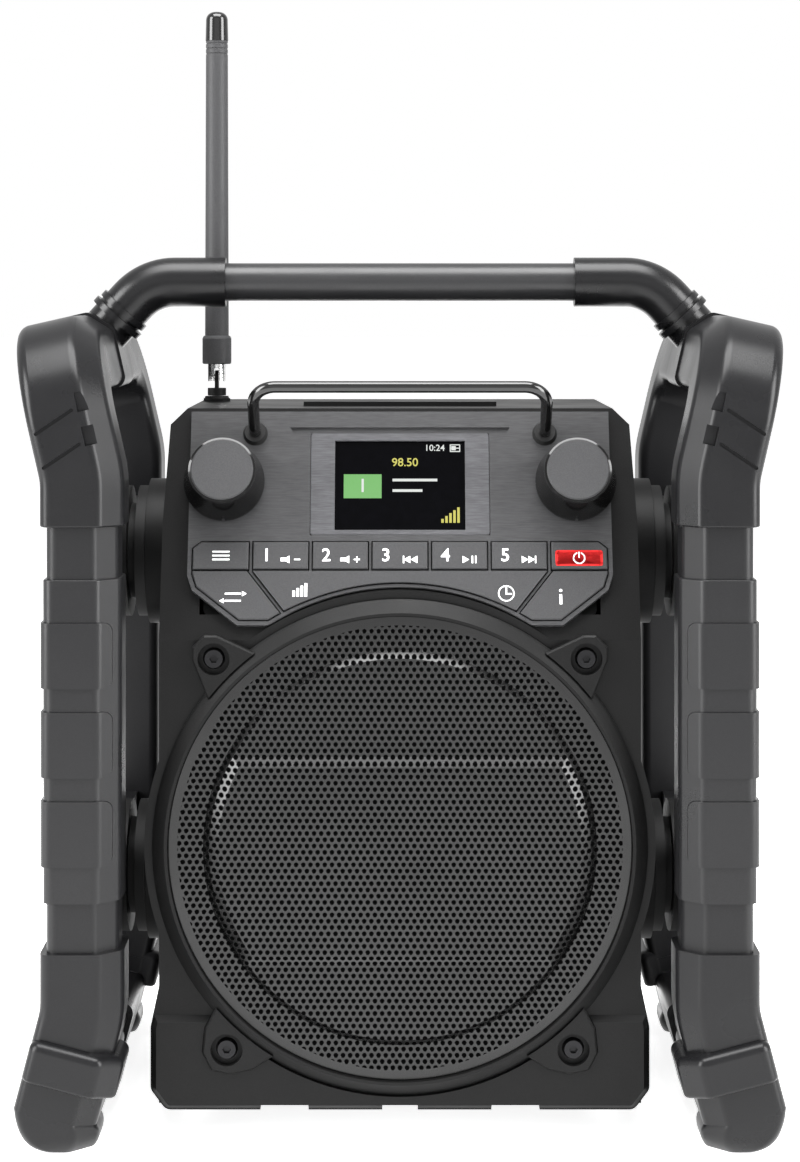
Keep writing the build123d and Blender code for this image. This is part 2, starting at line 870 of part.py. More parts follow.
with BuildPart() as control_panel:
    extrude(panel_outline(0), amount=-panel_thick)
    add(panel_bar, mode=Mode.SUBTRACT)
    chamfer(control_panel.faces().sort_by(Axis(panel_face.origin, panel_normal))[-1].edges(),
            length=0.5)
    add(pad_space.part, mode=Mode.SUBTRACT)
    with BuildSketch(panel_face):
        with Locations((0, bezel_middle)):
            Rectangle(2 * bezel_half + 0.4, bezel_high - bezel_low + 0.4)
    extrude(amount=-bezel_deep, mode=Mode.SUBTRACT)
    with BuildSketch(panel_face):
        with Locations((0, bezel_high + 1.2)):
            Trapezoid(2 * bezel_half + 17, 2.6, 60, rotation=180)
    extrude(amount=-bezel_deep * 0.7, mode=Mode.SUBTRACT)
    with BuildSketch(panel_face):
        with Locations((0, screen_middle)):
            Rectangle(screen_width + 4.6, screen_high - screen_low + 2.6)
        with Locations(*knob_places):
            Circle(bush_radius + seat_gap)
        with Locations(*rod_places):
            Circle(grommet_radius + seat_gap)
    extrude(amount=-panel_thick, mode=Mode.SUBTRACT)
finish(control_panel, "control_panel")

with BuildPart() as screen_bezel:
    with BuildSketch(panel_face.offset(-bezel_deep)):
        with Locations((0, bezel_middle)):
            RectangleRounded(2 * bezel_half, bezel_high - bezel_low, 1)
        with Locations((0, screen_middle)):
            Rectangle(screen_width, screen_high - screen_low, mode=Mode.SUBTRACT)
    extrude(amount=bezel_deep - 0.3)
finish(screen_bezel, "screen_bezel")

with BuildPart() as screen_lens:
    with BuildSketch(panel_face.offset(-bezel_deep - seat_gap)):
        with Locations((0, screen_middle)):
            Rectangle(screen_width + 4.2, screen_high - screen_low + 2.2)
    extrude(amount=-1.0)
finish(screen_lens, "screen_lens")

with BuildPart() as display:
    with BuildSketch(panel_face.offset(-bezel_deep - 1.1)):
        with Locations((0, screen_middle)):
            Rectangle(screen_width + 4.0, screen_high - screen_low + 2.0)
    extrude(amount=-board_setback + bezel_deep + 1.2)
finish(display, "display_module")

# Keys: each is the keypad space cut to its own zone, with a stem to its switch


def upper_zone(left, right):
    """Zone of a key in the upper row, between two bars."""
    clear = key_web / 2 + key_gap
    with BuildSketch(panel_face) as zone:
        with Locations(((left + right) / 2, (key_low + pad_top) / 2)):
            Rectangle(right - left - 2 * clear, pad_top - key_low)
    return zone.sketch


def lower_zone(side):
    """Zone of the key outside a slanted bar, or of the strip between them for 0."""
    clear = (key_web / 2 + key_gap) * sqrt(1 + diagonal_run**2)
    foot = diagonal - diagonal_run * lower_top
    with BuildSketch(panel_face) as zone:
        with BuildLine():
            if side:
                Polyline(
                    (side * (diagonal + clear), lower_top),
                    (side * (panel_half + 1), lower_top),
                    (side * (panel_half + 1), 0),
                    (side * (foot + clear), 0),
                    close=True,
                )
            else:
                Polyline(
                    (-diagonal + clear, lower_top),
                    (diagonal - clear, lower_top),
                    (foot - clear, 0),
                    (-foot + clear, 0),
                    close=True,
                )
        make_face()
    return zone.sketch


edge_x = panel_half + 1
bar_x = sorted(web_x)
key_zones = {
    "key_page": (upper_zone(-edge_x, bar_x[0]), [(-71.5, 28)]),
    "key_power": (upper_zone(bar_x[5], edge_x), [(71.5, 28)]),
    "key_source": (lower_zone(-1), [(-67, 12)]),
    "key_info": (lower_zone(1), [(67, 12)]),
    "key_strip": (lower_zone(0), [(-38, 17), (38, 17)]),
}
for number in range(5):
    middle = (bar_x[number] + bar_x[number + 1]) / 2
    zone = upper_zone(bar_x[number], bar_x[number + 1])
    key_zones[f"key_{number + 1}"] = (zone, [(middle, 28)])

with BuildPart() as key_space:
    extrude(panel_outline(pad_rim + key_gap), amount=key_deep, both=True)
    extrude(pad_outline(pad_rim / 2 + key_gap), amount=key_deep, both=True, mode=Mode.INTERSECT)
    add(key_bar, mode=Mode.SUBTRACT)

stem_end = board_setback - key_travel - slide_gap
for name, (zone, stems) in key_zones.items():
    with BuildPart() as key:
        extrude(zone, amount=key_proud)
        extrude(zone, amount=-key_deep)
        add(key_space.part, mode=Mode.INTERSECT)
        front = key.faces().sort_by(Axis(panel_face.origin, panel_normal))[-1]
        chamfer(front.edges(), length=0.4)
        with BuildSketch(panel_face.offset(-key_deep)):
            with Locations(*stems):
                Circle(key_stem_radius)
        extrude(amount=-stem_end + key_deep)
    finish(key, name)

# ---------------------------------------------------------------- boards and knobs

window_middle = panel_length / 2
board_bar = drum_clear(drum_radius + 1)
with BuildPart() as control_board:
    with BuildSketch(panel_face.offset(-board_setback - seat_gap)):
        with Locations((0, window_middle)):
            RectangleRounded(2 * window_half - 2, panel_length - 2 * panel_rim - 2, 3)
    extrude(amount=-board_thick)
    add(board_bar, mode=Mode.SUBTRACT)
finish(control_board, "control_board")

with BuildPart() as encoders:
    with BuildSketch(panel_face.offset(-board_setback)):
        with Locations(*knob_places):
            RectangleRounded(13, 13, 1)
    extrude(amount=board_setback - panel_thick - 0.5)
    with BuildSketch(panel_face.offset(-panel_thick - 0.5)):
        with Locations(*knob_places):
            Circle(bush_radius)
    extrude(amount=panel_thick + 1.4)
    with BuildSketch(panel_face.offset(-board_setback)):
        with Locations(*knob_places):
            Circle(spindle_radius + shaft_gap)
    extrude(amount=board_setback + 1, mode=Mode.SUBTRACT)
finish(encoders, "encoder_bodies")

knob_top = knob_lift + knob_height
spindle_top = knob_lift + knob_height - 4.5
cap_thick = 1.8


def knob_plane(side, height):
    """Plane across a knob's axis, the given height above the panel."""
    spot = panel_face.from_local_coords((side * knob_x, knob_v, height))
    return Plane(origin=spot, x_dir=(1, 0, 0), z_dir=panel_normal)


for side, name in ((-1, "left"), (1, "right")):
    spot = knob_plane(side, 0).origin
    spin_axis = Axis(spot, panel_normal)
    with BuildPart() as shaft:
        with BuildSketch(knob_plane(side, -board_setback + knob_travel + slide_gap)):
            Circle(spindle_radius)
        extrude(amount=board_setback - knob_travel - slide_gap + spindle_top)
    finish(shaft, f"{name}_encoder_shaft")

    # Skirted knob, hollow underneath, with a flat cap let into its top
    with BuildPart() as knob:
        half_plane = Plane(
            origin=spot, x_dir=(1, 0, 0), z_dir=-Vector(0, sin(slope), cos(slope))
        )
        with BuildSketch(half_plane) as profile:
            with BuildLine():
                Polyline(
                    (spindle_radius + shaft_gap, knob_lift + 3.5),
                    (knob_base_radius - 2.4, knob_lift + 3.5),
                    (knob_base_radius - 1.8, knob_lift),
                    (knob_base_radius, knob_lift),
                    (knob_base_radius, knob_lift + 1.8),
                    (knob_cap_radius + 1.0, knob_top - 3.0),
                    (knob_cap_radius + 0.9, knob_top - 0.9),
                    (knob_cap_radius + seat_gap, knob_top - 0.6),
                    (knob_cap_radius + seat_gap, knob_top - cap_thick),
                    (0, knob_top - cap_thick),
                    (0, spindle_top + shaft_gap),
                    (spindle_radius + shaft_gap, spindle_top + shaft_gap),
                    close=True,
                )
            make_face()
        revolve(axis=spin_axis)
        with BuildSketch(knob_plane(side, knob_lift - 1)):
            with Locations((0, -knob_base_radius)):
                Rectangle(1.2, 1.8)
        extrude(amount=6, mode=Mode.SUBTRACT)
    finish(knob, f"{name}_knob")

    with BuildPart() as cap:
        with BuildSketch(knob_plane(side, knob_top - cap_thick)):
            Circle(knob_cap_radius)
        extrude(amount=cap_thick)
        chamfer(cap.faces().sort_by(Axis(spot, panel_normal))[-1].edges(), length=0.5)
    finish(cap, f"{name}_knob_cap")

# ---------------------------------------------------------------- protective rod

rod_foot = panel_face.from_local_coords((rod_x, rod_v, -panel_thick))
rod_knee = panel_face.from_local_coords((rod_x, rod_v, rod_reach * 0.38))
rod_head = rod_knee + Vector(0, -rod_reach * 0.62, rod_reach * 0.72)


def other_side(point):
    """The point's mirror image across the middle."""
    return Vector(-point.X, point.Y, point.Z)


with BuildPart() as guard_rod:
    with BuildLine() as rod_path:
        FilletPolyline(
            other_side(rod_foot),
            other_side(rod_knee),
            other_side(rod_head),
            rod_head,
            rod_knee,
            rod_foot,
            radius=[rod_radius * 2, rod_bend, rod_bend, rod_radius * 2],
        )
    with BuildSketch(Plane(origin=other_side(rod_foot), z_dir=panel_normal)):
        Circle(rod_radius)
    sweep(path=rod_path.line)
finish(guard_rod, "guard_rod")

with BuildPart() as grommets:
    with BuildSketch(panel_face.offset(-panel_thick)):
        with Locations(*rod_places):
            Circle(grommet_radius)
    extrude(amount=panel_thick)
    with BuildSketch(panel_face):
        with Locations(*rod_places):
            Circle(grommet_radius + 0.9)
    extrude(amount=2.6, taper=18)
    with BuildSketch(panel_face.offset(-panel_thick)):
        with Locations(*rod_places):
            Circle(rod_radius + seat_gap)
    extrude(amount=panel_thick + 3, mode=Mode.SUBTRACT)
finish(grommets, "rod_grommets")

# ---------------------------------------------------------------- speaker front

speaker_axis = Axis((0, 0, speaker_z), (0, 1, 0))
ring_front = body_front - ring_proud
grille_back = body_front - grille_set
grille_front = grille_back - grille_thick

with BuildPart() as speaker_frame:
    extrude(lug_sketch(0), amount=lug_proud)
    lug_edges = speaker_frame.faces().sort_by(Axis.Y)[:2].edges()
    chamfer(lug_edges, length=0.7)
    mirror(about=Plane.YZ)
    with BuildSketch(Plane.XZ.offset(-body_front)):
        with Locations((0, speaker_z)):
            Circle(ring_outer - 2)
    extrude(amount=lug_proud + 2, mode=Mode.SUBTRACT)
    with BuildSketch(Plane.XY.offset(speaker_z)):
        with BuildLine():
            Polyline(
                (grille_radius - 3, body_front),
                (ring_outer, body_front),
                (ring_outer, body_front - 1.6),
                (ring_outer - 0.8, body_front - 2.4),
                (ring_inner + 1.2, ring_front),
                (ring_inner, ring_front),
                (ring_inner, grille_back),
                (grille_radius - 3, grille_back),
                close=True,
            )
        make_face()
    revolve(axis=speaker_axis)
    with BuildSketch(Plane.XZ.offset(-body_front + lug_proud)):
        with Locations(*screw_places):
            Circle(recess_radius)
    extrude(amount=-recess_depth, mode=Mode.SUBTRACT)
    with BuildSketch(Plane.XZ.offset(-body_front + lug_proud)):
        with Locations(*screw_places):
            Circle(screw_shank + seat_gap)
    extrude(amount=-lug_proud, mode=Mode.SUBTRACT)
finish(speaker_frame, "speaker_frame")

with BuildPart() as screws:
    seat_y = body_front - lug_proud + recess_depth
    for x, z in screw_places:
        with BuildSketch(Plane.XZ.offset(-seat_y)):
            with Locations((x, z)):
                Circle(screw_radius)
        extrude(amount=2.4, taper=18)
        with BuildSketch(Plane.XZ.offset(-seat_y)):
            with Locations((x, z)):
                Circle(screw_shank)
        extrude(amount=-screw_length)
        with BuildSketch(Plane.XZ.offset(-seat_y + 2.4)):
            with Locations((x, z)):
                RegularPolygon(1.7, 6)
        extrude(amount=-1.6, mode=Mode.SUBTRACT)
finish(screws, "frame_screws")


def grille_form(back, rim, rise):
    """Pressed grille form standing on the plane at depth back: rim, plateau, band."""
    with BuildPart() as form:
        with BuildSketch(Plane.XZ.offset(-back)):
            with Locations((0, speaker_z)):
                Circle(rim)
        extrude(amount=rise)
        with BuildSketch(Plane.XZ.offset(-back + rise)):
            with Locations((0, speaker_z)):
                Circle(plateau_radius)
        extrude(amount=plateau_rise, taper=45)
        with BuildSketch(Plane.XZ.offset(-back + rise + plateau_rise)):
            with Locations((0, speaker_z)):
                Circle(plateau_radius - plateau_rise)
            with Locations((0, band_high)):
                Rectangle(200, 90, align=(Align.CENTER, Align.MIN), mode=Mode.SUBTRACT)
            with Locations((0, band_low)):
                Rectangle(200, 90, align=(Align.CENTER, Align.MAX), mode=Mode.SUBTRACT)
        extrude(amount=band_rise, taper=55)
    return form.part


with BuildPart() as grille:
    add(grille_form(grille_back, grille_radius, grille_thick))
    hollow = grille_form(grille_back, plateau_radius - 3, 0.01)
    add(hollow.moved(Location((0, 0.02, 0))), mode=Mode.SUBTRACT)
finish(grille, "speaker_grille")

# ---------------------------------------------------------------- loudspeaker

basket_front = body_front + wall
cone_front = basket_front + 3.0
magnet_front = basket_front + basket_depth
throat = 17.0

with BuildPart() as basket:
    with BuildSketch(Plane.XY.offset(speaker_z)):
        with BuildLine():
            Polyline(
                (cone_radius + 1, basket_front),
                (speaker_hole + 6, basket_front),
                (speaker_hole + 6, basket_front + 2),
                (cone_radius + 5, basket_front + 2),
                (magnet_radius - 2, magnet_front),
                (throat - 3, magnet_front),
                (throat - 3, magnet_front - 2),
                (magnet_radius - 4, magnet_front - 2),
                (cone_radius + 1, basket_front + 6),
                close=True,
            )
        make_face()
    revolve(axis=speaker_axis)
    with BuildSketch(Plane.XZ.offset(-basket_front)):
        with Locations((0, speaker_z)):
            with PolarLocations((cone_radius + magnet_radius) / 2, 6):
                SlotOverall(20, 34 - 16, rotation=90)
    extrude(amount=-basket_depth - 3, mode=Mode.SUBTRACT)
finish(basket, "loudspeaker_basket")

with BuildPart() as magnet:
    with BuildSketch(Plane.XZ.offset(-magnet_front)):
        with Locations((0, speaker_z)):
            Circle(magnet_radius)
    extrude(amount=-magnet_thick)
    with BuildSketch(Plane.XZ.offset(-magnet_front)):
        with Locations((0, speaker_z)):
            Circle(throat - 3.5)
    extrude(amount=6)
    fillet(magnet.edges().filter_by(GeomType.CIRCLE).sort_by(Axis.Y)[-1:], radius=1.5)
finish(magnet, "loudspeaker_magnet")

with BuildPart() as cone:
    with BuildSketch(Plane.XY.offset(speaker_z)):
        with BuildLine():
            Polyline(
                (cone_radius + 0.9, basket_front + 0.2),
                (cone_radius + 0.9, basket_front + 1.6),
                (cone_radius - 1.5, basket_front + 1.6),
                (cone_radius - 4, basket_front - 0.2),
                (cone_radius - 7, basket_front - 0.2),
                (cone_radius - 9.5, basket_front + 2.6),
                (throat, cone_front + cone_depth),
                (throat - 7, cone_front + cone_depth - 4.4),
                (0, cone_front + cone_depth - 6),
                (0, cone_front + cone_depth - 7.2),
                (throat - 6.5, cone_front + cone_depth - 5.6),
                (throat + 0.4, cone_front + cone_depth - 2),
                (cone_radius - 10, basket_front + 1.2),
                (cone_radius - 7.4, basket_front - 1.4),
                (cone_radius - 3.6, basket_front - 1.4),
                (cone_radius - 1, basket_front + 0.2),
                close=True,
            )
        make_face()
    revolve(axis=speaker_axis)
    with BuildSketch(Plane.XZ.offset(-cone_front - cone_depth + 3)):
        with Locations((0, speaker_z)):
            Circle(throat - 2.2)
            Circle(throat - 3.2, mode=Mode.SUBTRACT)
    extrude(amount=-(magnet_front - cone_front - cone_depth) + 5)
finish(cone, "loudspeaker_cone")

with BuildPart() as main_board:
    with BuildSketch(Plane.XZ.offset(-split_y + 12)):
        with Locations((0, 232)):
            RectangleRounded(150, 70, 3)
    extrude(amount=-board_thick)
    with BuildSketch(Plane.XZ.offset(-split_y + 12)):
        with Locations((-45, 240), (30, 225)):
            Rectangle(24, 20)
        with Locations((-5, 245), (55, 250)):
            Circle(6)
    extrude(amount=6)
    with BuildSketch(Plane.XZ.offset(-split_y + 12 - board_thick)):
        with GridLocations(130, 50, 2, 2):
            with Locations((0, 232)):
                Circle(3)
    extrude(amount=-body_rear)
    add(body_block(wall + seat_gap), mode=Mode.INTERSECT)
finish(main_board, "main_board")

# ---------------------------------------------------------------- antenna

block_low = body_top + 2.6
with BuildPart() as antenna_base:
    with BuildSketch(Plane.XY.offset(body_top + seat_gap)):
        with Locations((antenna_x, antenna_y)):
            RegularPolygon(antenna_base_radius, 6)
    extrude(amount=1.3)
    with BuildSketch(Plane.XY.offset(body_top + 1.3)):
        with Locations((antenna_x, antenna_y)):
            Circle(antenna_base_radius - 0.4)
    extrude(amount=1.0, taper=20)
    with BuildSketch(Plane.XY.offset(body_top + 1)):
        with Locations((antenna_x, antenna_y)):
            Circle(stud_radius)
    extrude(amount=-wall - 4)
finish(antenna_base, "antenna_base")

with BuildPart() as antenna_swivel:
    with BuildSketch(Plane.XY.offset(block_low)):
        with Locations((antenna_x, antenna_y)):
            Circle(block_half + 0.2)
    extrude(amount=3.2)
    with BuildSketch(Plane.YZ.offset(antenna_x - fork_slot / 2)):
        with Locations((antenna_y, antenna_tilt_z)):
            Circle(block_half - 0.8)
        with Locations((antenna_y, (block_low + 3 + antenna_tilt_z) / 2)):
            Rectangle(2 * block_half - 1.6, antenna_tilt_z - block_low - 3)
        with Locations((antenna_y, antenna_tilt_z)):
            Circle(fork_pin_radius + shaft_gap, mode=Mode.SUBTRACT)
    extrude(amount=fork_slot)
finish(antenna_swivel, "antenna_swivel")

fork_drop = 1.7
with BuildPart() as fork:
    with BuildSketch(Plane.XY.offset(antenna_tilt_z - fork_drop)):
        with Locations((antenna_x, antenna_y)):
            Circle(block_half + 0.1)
    extrude(amount=antenna_collar_low - antenna_tilt_z + fork_drop)
    with Locations((antenna_x, antenna_y, antenna_tilt_z - 0.6)):
        Box(fork_slot + 0.5, 20, 8.8, mode=Mode.SUBTRACT)
    with BuildSketch(Plane.YZ.offset(antenna_x - block_half + 0.4)):
        with Locations((antenna_y, antenna_tilt_z)):
            Circle(fork_pin_radius)
    extrude(amount=2 * block_half - 0.8)
finish(fork, "antenna_fork")

with BuildPart() as antenna_rod:
    with BuildSketch(Plane.XZ.offset(-antenna_y)) as rod_profile:
        with BuildLine():
            tip_low = antenna_top - antenna_tip_length
            Polyline(
                (antenna_x, antenna_collar_low + seat_gap),
                (antenna_x + antenna_collar_radius - 0.4, antenna_collar_low + seat_gap),
                (antenna_x + antenna_collar_radius, antenna_collar_low + 0.6),
                (antenna_x + antenna_collar_radius, antenna_collar_high - 1.0),
                (antenna_x + antenna_collar_radius - 0.5, antenna_collar_high),
                (antenna_x + antenna_radius, antenna_collar_high + 0.3),
                (antenna_x + antenna_radius - 0.4, tip_low),
                (antenna_x, tip_low),
                close=True,
            )
        make_face()
    revolve(axis=Axis((antenna_x, antenna_y, 0), (0, 0, 1)))
    for groove in (1.2, 3.4, 5.6):
        with Locations((antenna_x, antenna_y, tip_low - groove)):
            Torus(antenna_radius - 0.3, 0.35, mode=Mode.SUBTRACT)
finish(antenna_rod, "antenna_rod")

with BuildPart() as antenna_tip:
    with BuildSketch(Plane.XZ.offset(-antenna_y)):
        with BuildLine():
            FilletPolyline(
                (antenna_x, tip_low + seat_gap),
                (antenna_x + antenna_radius - 0.2, tip_low + seat_gap),
                (antenna_x + antenna_radius - 0.5, antenna_top),
                (antenna_x, antenna_top),
                radius=[0, tip_round],
            )
            Line((antenna_x, antenna_top), (antenna_x, tip_low + seat_gap))
        make_face()
    revolve(axis=Axis((antenna_x, antenna_y, 0), (0, 0, 1)))
finish(antenna_tip, "antenna_tip")

# ---------------------------------------------------------------- socket flap

flap_plane = Plane(origin=(half_body + slide_gap, flap_y, flap_z), x_dir=(0, 1, 0), z_dir=(1, 0, 0))
with BuildPart() as flap:
    with BuildSketch(flap_plane):
        RectangleRounded(flap_width, flap_height, 5)
    extrude(amount=flap_thick)
    fillet(flap.faces().sort_by(Axis.X)[-1].edges(), radius=0.9)
    with BuildSketch(flap_plane.offset(flap_thick - 0.2)):
        with GridLocations(0, 22, 1, 2):
            Circle(3.6)
    extrude(amount=1.6, taper=25)
    with BuildSketch(flap_plane):
        with GridLocations(0, 17, 1, 2):
            Circle(socket_radius - slide_gap)
            Circle(socket_radius - slide_gap - 1.2, mode=Mode.SUBTRACT)
    extrude(amount=-1.8)
finish(flap, "socket_cover")
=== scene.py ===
import json
import math

import bpy
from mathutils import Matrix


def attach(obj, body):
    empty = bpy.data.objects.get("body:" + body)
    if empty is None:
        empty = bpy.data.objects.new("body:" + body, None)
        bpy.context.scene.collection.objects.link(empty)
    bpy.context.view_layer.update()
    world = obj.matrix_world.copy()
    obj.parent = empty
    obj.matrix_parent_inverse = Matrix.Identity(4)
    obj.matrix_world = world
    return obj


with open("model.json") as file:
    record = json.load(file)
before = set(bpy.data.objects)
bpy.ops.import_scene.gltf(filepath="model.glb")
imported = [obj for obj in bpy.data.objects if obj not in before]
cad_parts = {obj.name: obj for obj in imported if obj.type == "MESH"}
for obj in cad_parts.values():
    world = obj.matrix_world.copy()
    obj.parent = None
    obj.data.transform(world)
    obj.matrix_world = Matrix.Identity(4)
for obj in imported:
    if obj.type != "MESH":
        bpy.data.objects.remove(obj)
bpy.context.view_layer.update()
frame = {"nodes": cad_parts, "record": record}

bl_info = {
    "name": "Jobsite radio",
    "version": (1, 0, 0),
    "blender": (4, 5, 0),
    "location": "View3D > Sidebar > Radio",
    "description": "Dresses the jobsite radio: rubber cage, body, controls, grille and screen",
    "category": "Object",
}

# Prints are drawn in the control panel's own axes, u to the right and v up its slope, in
# millimetres, and are then turned onto its face.
MM = 0.001
PANEL_ORIGIN = (0.0, -0.081, 0.203)      # foot of the slanted control panel, in metres
PANEL_TURN = math.radians(69.5)
PANEL_NORMAL = (0.0, -math.sin(PANEL_TURN), math.cos(PANEL_TURN))
PRINT_LIFT = 0.02 * MM                   # a print lies this far in front of its key
PRINT_THICK = 0.05                       # mm
LIT_THICK = 0.03                         # mm, shapes on the display
LIT_NUMBER_THICK = 0.09                  # mm, the number that stands on the lit tile
LETTER_SIZE = 1.42                       # font size of a numeral one unit high
LETTER_BOLD = 0.012                      # outline grown by this share of the height

# Grain and wear that all surfaces share
GRAIN_SPAN = (0.35, 0.65)                # noise at the grain's dark and light colour
CLOUD_SPAN = (0.3, 0.7)                  # noise at the smoothest and the roughest spots
CLOUD_SCALE = 28.0                       # clouds about 36 mm across
WEAR = 0.06                              # change of roughness either way in the clouds
GRAIN_BUMP = 0.6

# Grille, in mm
SPEAKER_Z = 115.7
GRILLE_PITCH = 2.8
GRILLE_ROW = 2.45
GRILLE_HOLE = 1.9
PUNCHED_RADIUS = 87.5                    # no holes outside this radius
HOLE_EDGE = 0.08                         # half the width of a hole's soft edge
HOLE_DEPTH = 0.4
HOLE_BUMP = 0.5

# Keys
MIDDLE_KEY = 3
KEY_PITCH = 23.7
KEY_V = 28.0
NUMERAL_U = -5.6                         # a numeral stands left of its key's centre
NUMERAL_HEIGHT = 5.2
SYMBOL_DROP = 1.6                        # and a symbol lower than the numeral
POWER_U = 71.1
POWER_V = 27.0
CLOCK_U = 42
CLOCK_V = 12.6
CLOCK_RADIUS = 3.0

# Rings are made of short bars
RING_BARS = 40
RING_BAR_HALF = 0.24
POWER_RADIUS = 2.2
POWER_GAP = 50.0                         # degrees left open at the top
STEM_PLACE = 0.6                         # middle and half length of the bar in the gap,
STEM_HALF = 0.55                         # as shares of the ring's radius

# Each shape is (sides, u, v, half width, half height, turn in degrees)
TRIANGLE = 3
BAR = 4
DISC = 32
SPEAKER_SYMBOL = [(BAR, 1.0, 0, 1.0, 0.7, 0), (TRIANGLE, 2.6, 0, 1.8, 1.8, 90)]
MINUS_SYMBOL = [(BAR, 6.6, 0, 1.2, 0.25, 0)]
PLUS_SYMBOL = MINUS_SYMBOL + [(BAR, 6.6, 0, 0.25, 1.2, 0)]
KEY_SYMBOLS = {
    "key_1": SPEAKER_SYMBOL + MINUS_SYMBOL,
    "key_2": SPEAKER_SYMBOL + PLUS_SYMBOL,
    "key_3": [
        (BAR, 1.4, 0, 0.25, 1.5, 0),
        (TRIANGLE, 3.2, 0, 1.7, 1.7, 90),
        (TRIANGLE, 6.0, 0, 1.7, 1.7, 90),
    ],
    "key_4": [
        (TRIANGLE, 2.0, 0, 1.7, 1.7, -90),
        (BAR, 5.0, 0, 0.3, 1.5, 0),
        (BAR, 6.4, 0, 0.3, 1.5, 0),
    ],
    "key_5": [
        (TRIANGLE, 1.8, 0, 1.7, 1.7, -90),
        (TRIANGLE, 4.4, 0, 1.7, 1.7, -90),
        (BAR, 6.4, 0, 0.25, 1.5, 0),
    ],
}
POWER_PATCH = [
    (BAR, POWER_U, POWER_V, 9.4, 2.4, 0),
    (BAR, POWER_U, POWER_V, 8.4, 3.2, 0),
    (DISC, 62.6, 29.3, 0.9, 0.9, 0),
    (DISC, 79.6, 29.3, 0.9, 0.9, 0),
    (DISC, 62.6, 24.7, 0.9, 0.9, 0),
    (DISC, 79.6, 24.7, 0.9, 0.9, 0),
]
PAGE_SYMBOL = [(BAR, -POWER_U, v, 3.4, 0.32, 0) for v in (29.6, 28.0, 26.4)]
LOUDNESS_SYMBOL = [
    (BAR, -42 + step * 1.6, 12.5 + step * 0.5, 0.5, 1.2 + step * 0.5, 0) for step in range(4)
]
CLOCK_HANDS = [(BAR, CLOCK_U, 13.6, 0.3, 1.5, 0), (BAR, 43, 12.4, 1.2, 0.3, 0)]
SOURCE_SYMBOL = [
    (BAR, -66, 12.5, 3.2, 0.35, 0),
    (BAR, -66, 9.6, 3.2, 0.35, 0),
    (TRIANGLE, -61.8, 12.5, 1.2, 1.2, -90),
    (TRIANGLE, -70.2, 9.6, 1.2, 1.2, 90),
]
INFO_SYMBOL = [(BAR, 63.5, 10.2, 0.5, 2.0, 0), (DISC, 63.5, 13.8, 0.6, 0.6, 0)]

# Display: texts are (u, v, height)
TILE_U = -15.0
TILE_V = 57.4
STATUS_V = 73.4
CLOCK_TEXT = (14.0, STATUS_V, 2.6)
STATION_TEXT = (2.0, 67.3, 3.4)
NUMBER_TEXT = (TILE_U, TILE_V, 5.6)
SCREEN_TILE = [(BAR, TILE_U, TILE_V, 7.6, 5.0, 0)]
TEXT_LINES = [(BAR, 6.0, 60.0, 9.0, 0.55, 0), (BAR, 3.0, 55.6, 6.0, 0.55, 0)]
BATTERY_SYMBOL = [
    (BAR, 22.2, STATUS_V, 2.0, 0.2, 0),
    (BAR, 22.2, 74.8, 2.0, 0.2, 0),
    (BAR, 22.2, 72.0, 2.0, 0.2, 0),
    (BAR, 20.3, STATUS_V, 0.2, 1.5, 0),
    (BAR, 24.1, STATUS_V, 0.2, 1.5, 0),
    (BAR, 21.6, STATUS_V, 0.9, 0.9, 0),
]
SIGNAL_BARS = [
    (BAR, 17.0 + step * 1.6, 43.0 + step * 0.6, 0.5, 0.8 + step * 0.6, 0) for step in range(5)
]

# Studio, in metres
FLOOR_SIZE = 30.0
FLOOR_PLACE = (0.0, 8.0, -0.0004)
FLOOR_GLOW = 0.88                        # brings the lit floor to white where it is seen
WORLD_FILL = 0.08                        # strength of the world as light on the radio
CAMERA_PLACE = (0.0, -1.144, 0.331)
CAMERA_SHIFT = -0.2418
SENSOR_WIDTH = 36.0                      # mm
VIEW_END = 60.0

NODE_BODY = {
    node: body
    for body, nodes in frame["record"]["behaviour"]["bodies"].items()
    for node in nodes
}
NODE_SLOT = {
    part["node"]: part["material_slot"] for part in frame["record"]["subparts"]
}


# ---------------------------------------------------------------- materials


def linear(code):
    """Linear colour of an sRGB hex code such as '#5a5a5a'."""
    channels = []
    for start in (1, 3, 5):
        value = int(code[start:start + 2], 16) / 255
        if value <= 0.04045:
            channels.append(value / 12.92)
        else:
            channels.append(((value + 0.055) / 1.055) ** 2.4)
    return (*channels, 1.0)


def add_node(tree, kind, settings=None, inputs=None):
    """Add a shader node, set its properties, and set or link its inputs."""
    node = tree.nodes.new(kind)
    for key, value in (settings or {}).items():
        setattr(node, key, value)
    for key, value in (inputs or {}).items():
        if isinstance(value, bpy.types.NodeSocket):
            tree.links.new(value, node.inputs[key])
        else:
            node.inputs[key].default_value = value
    return node


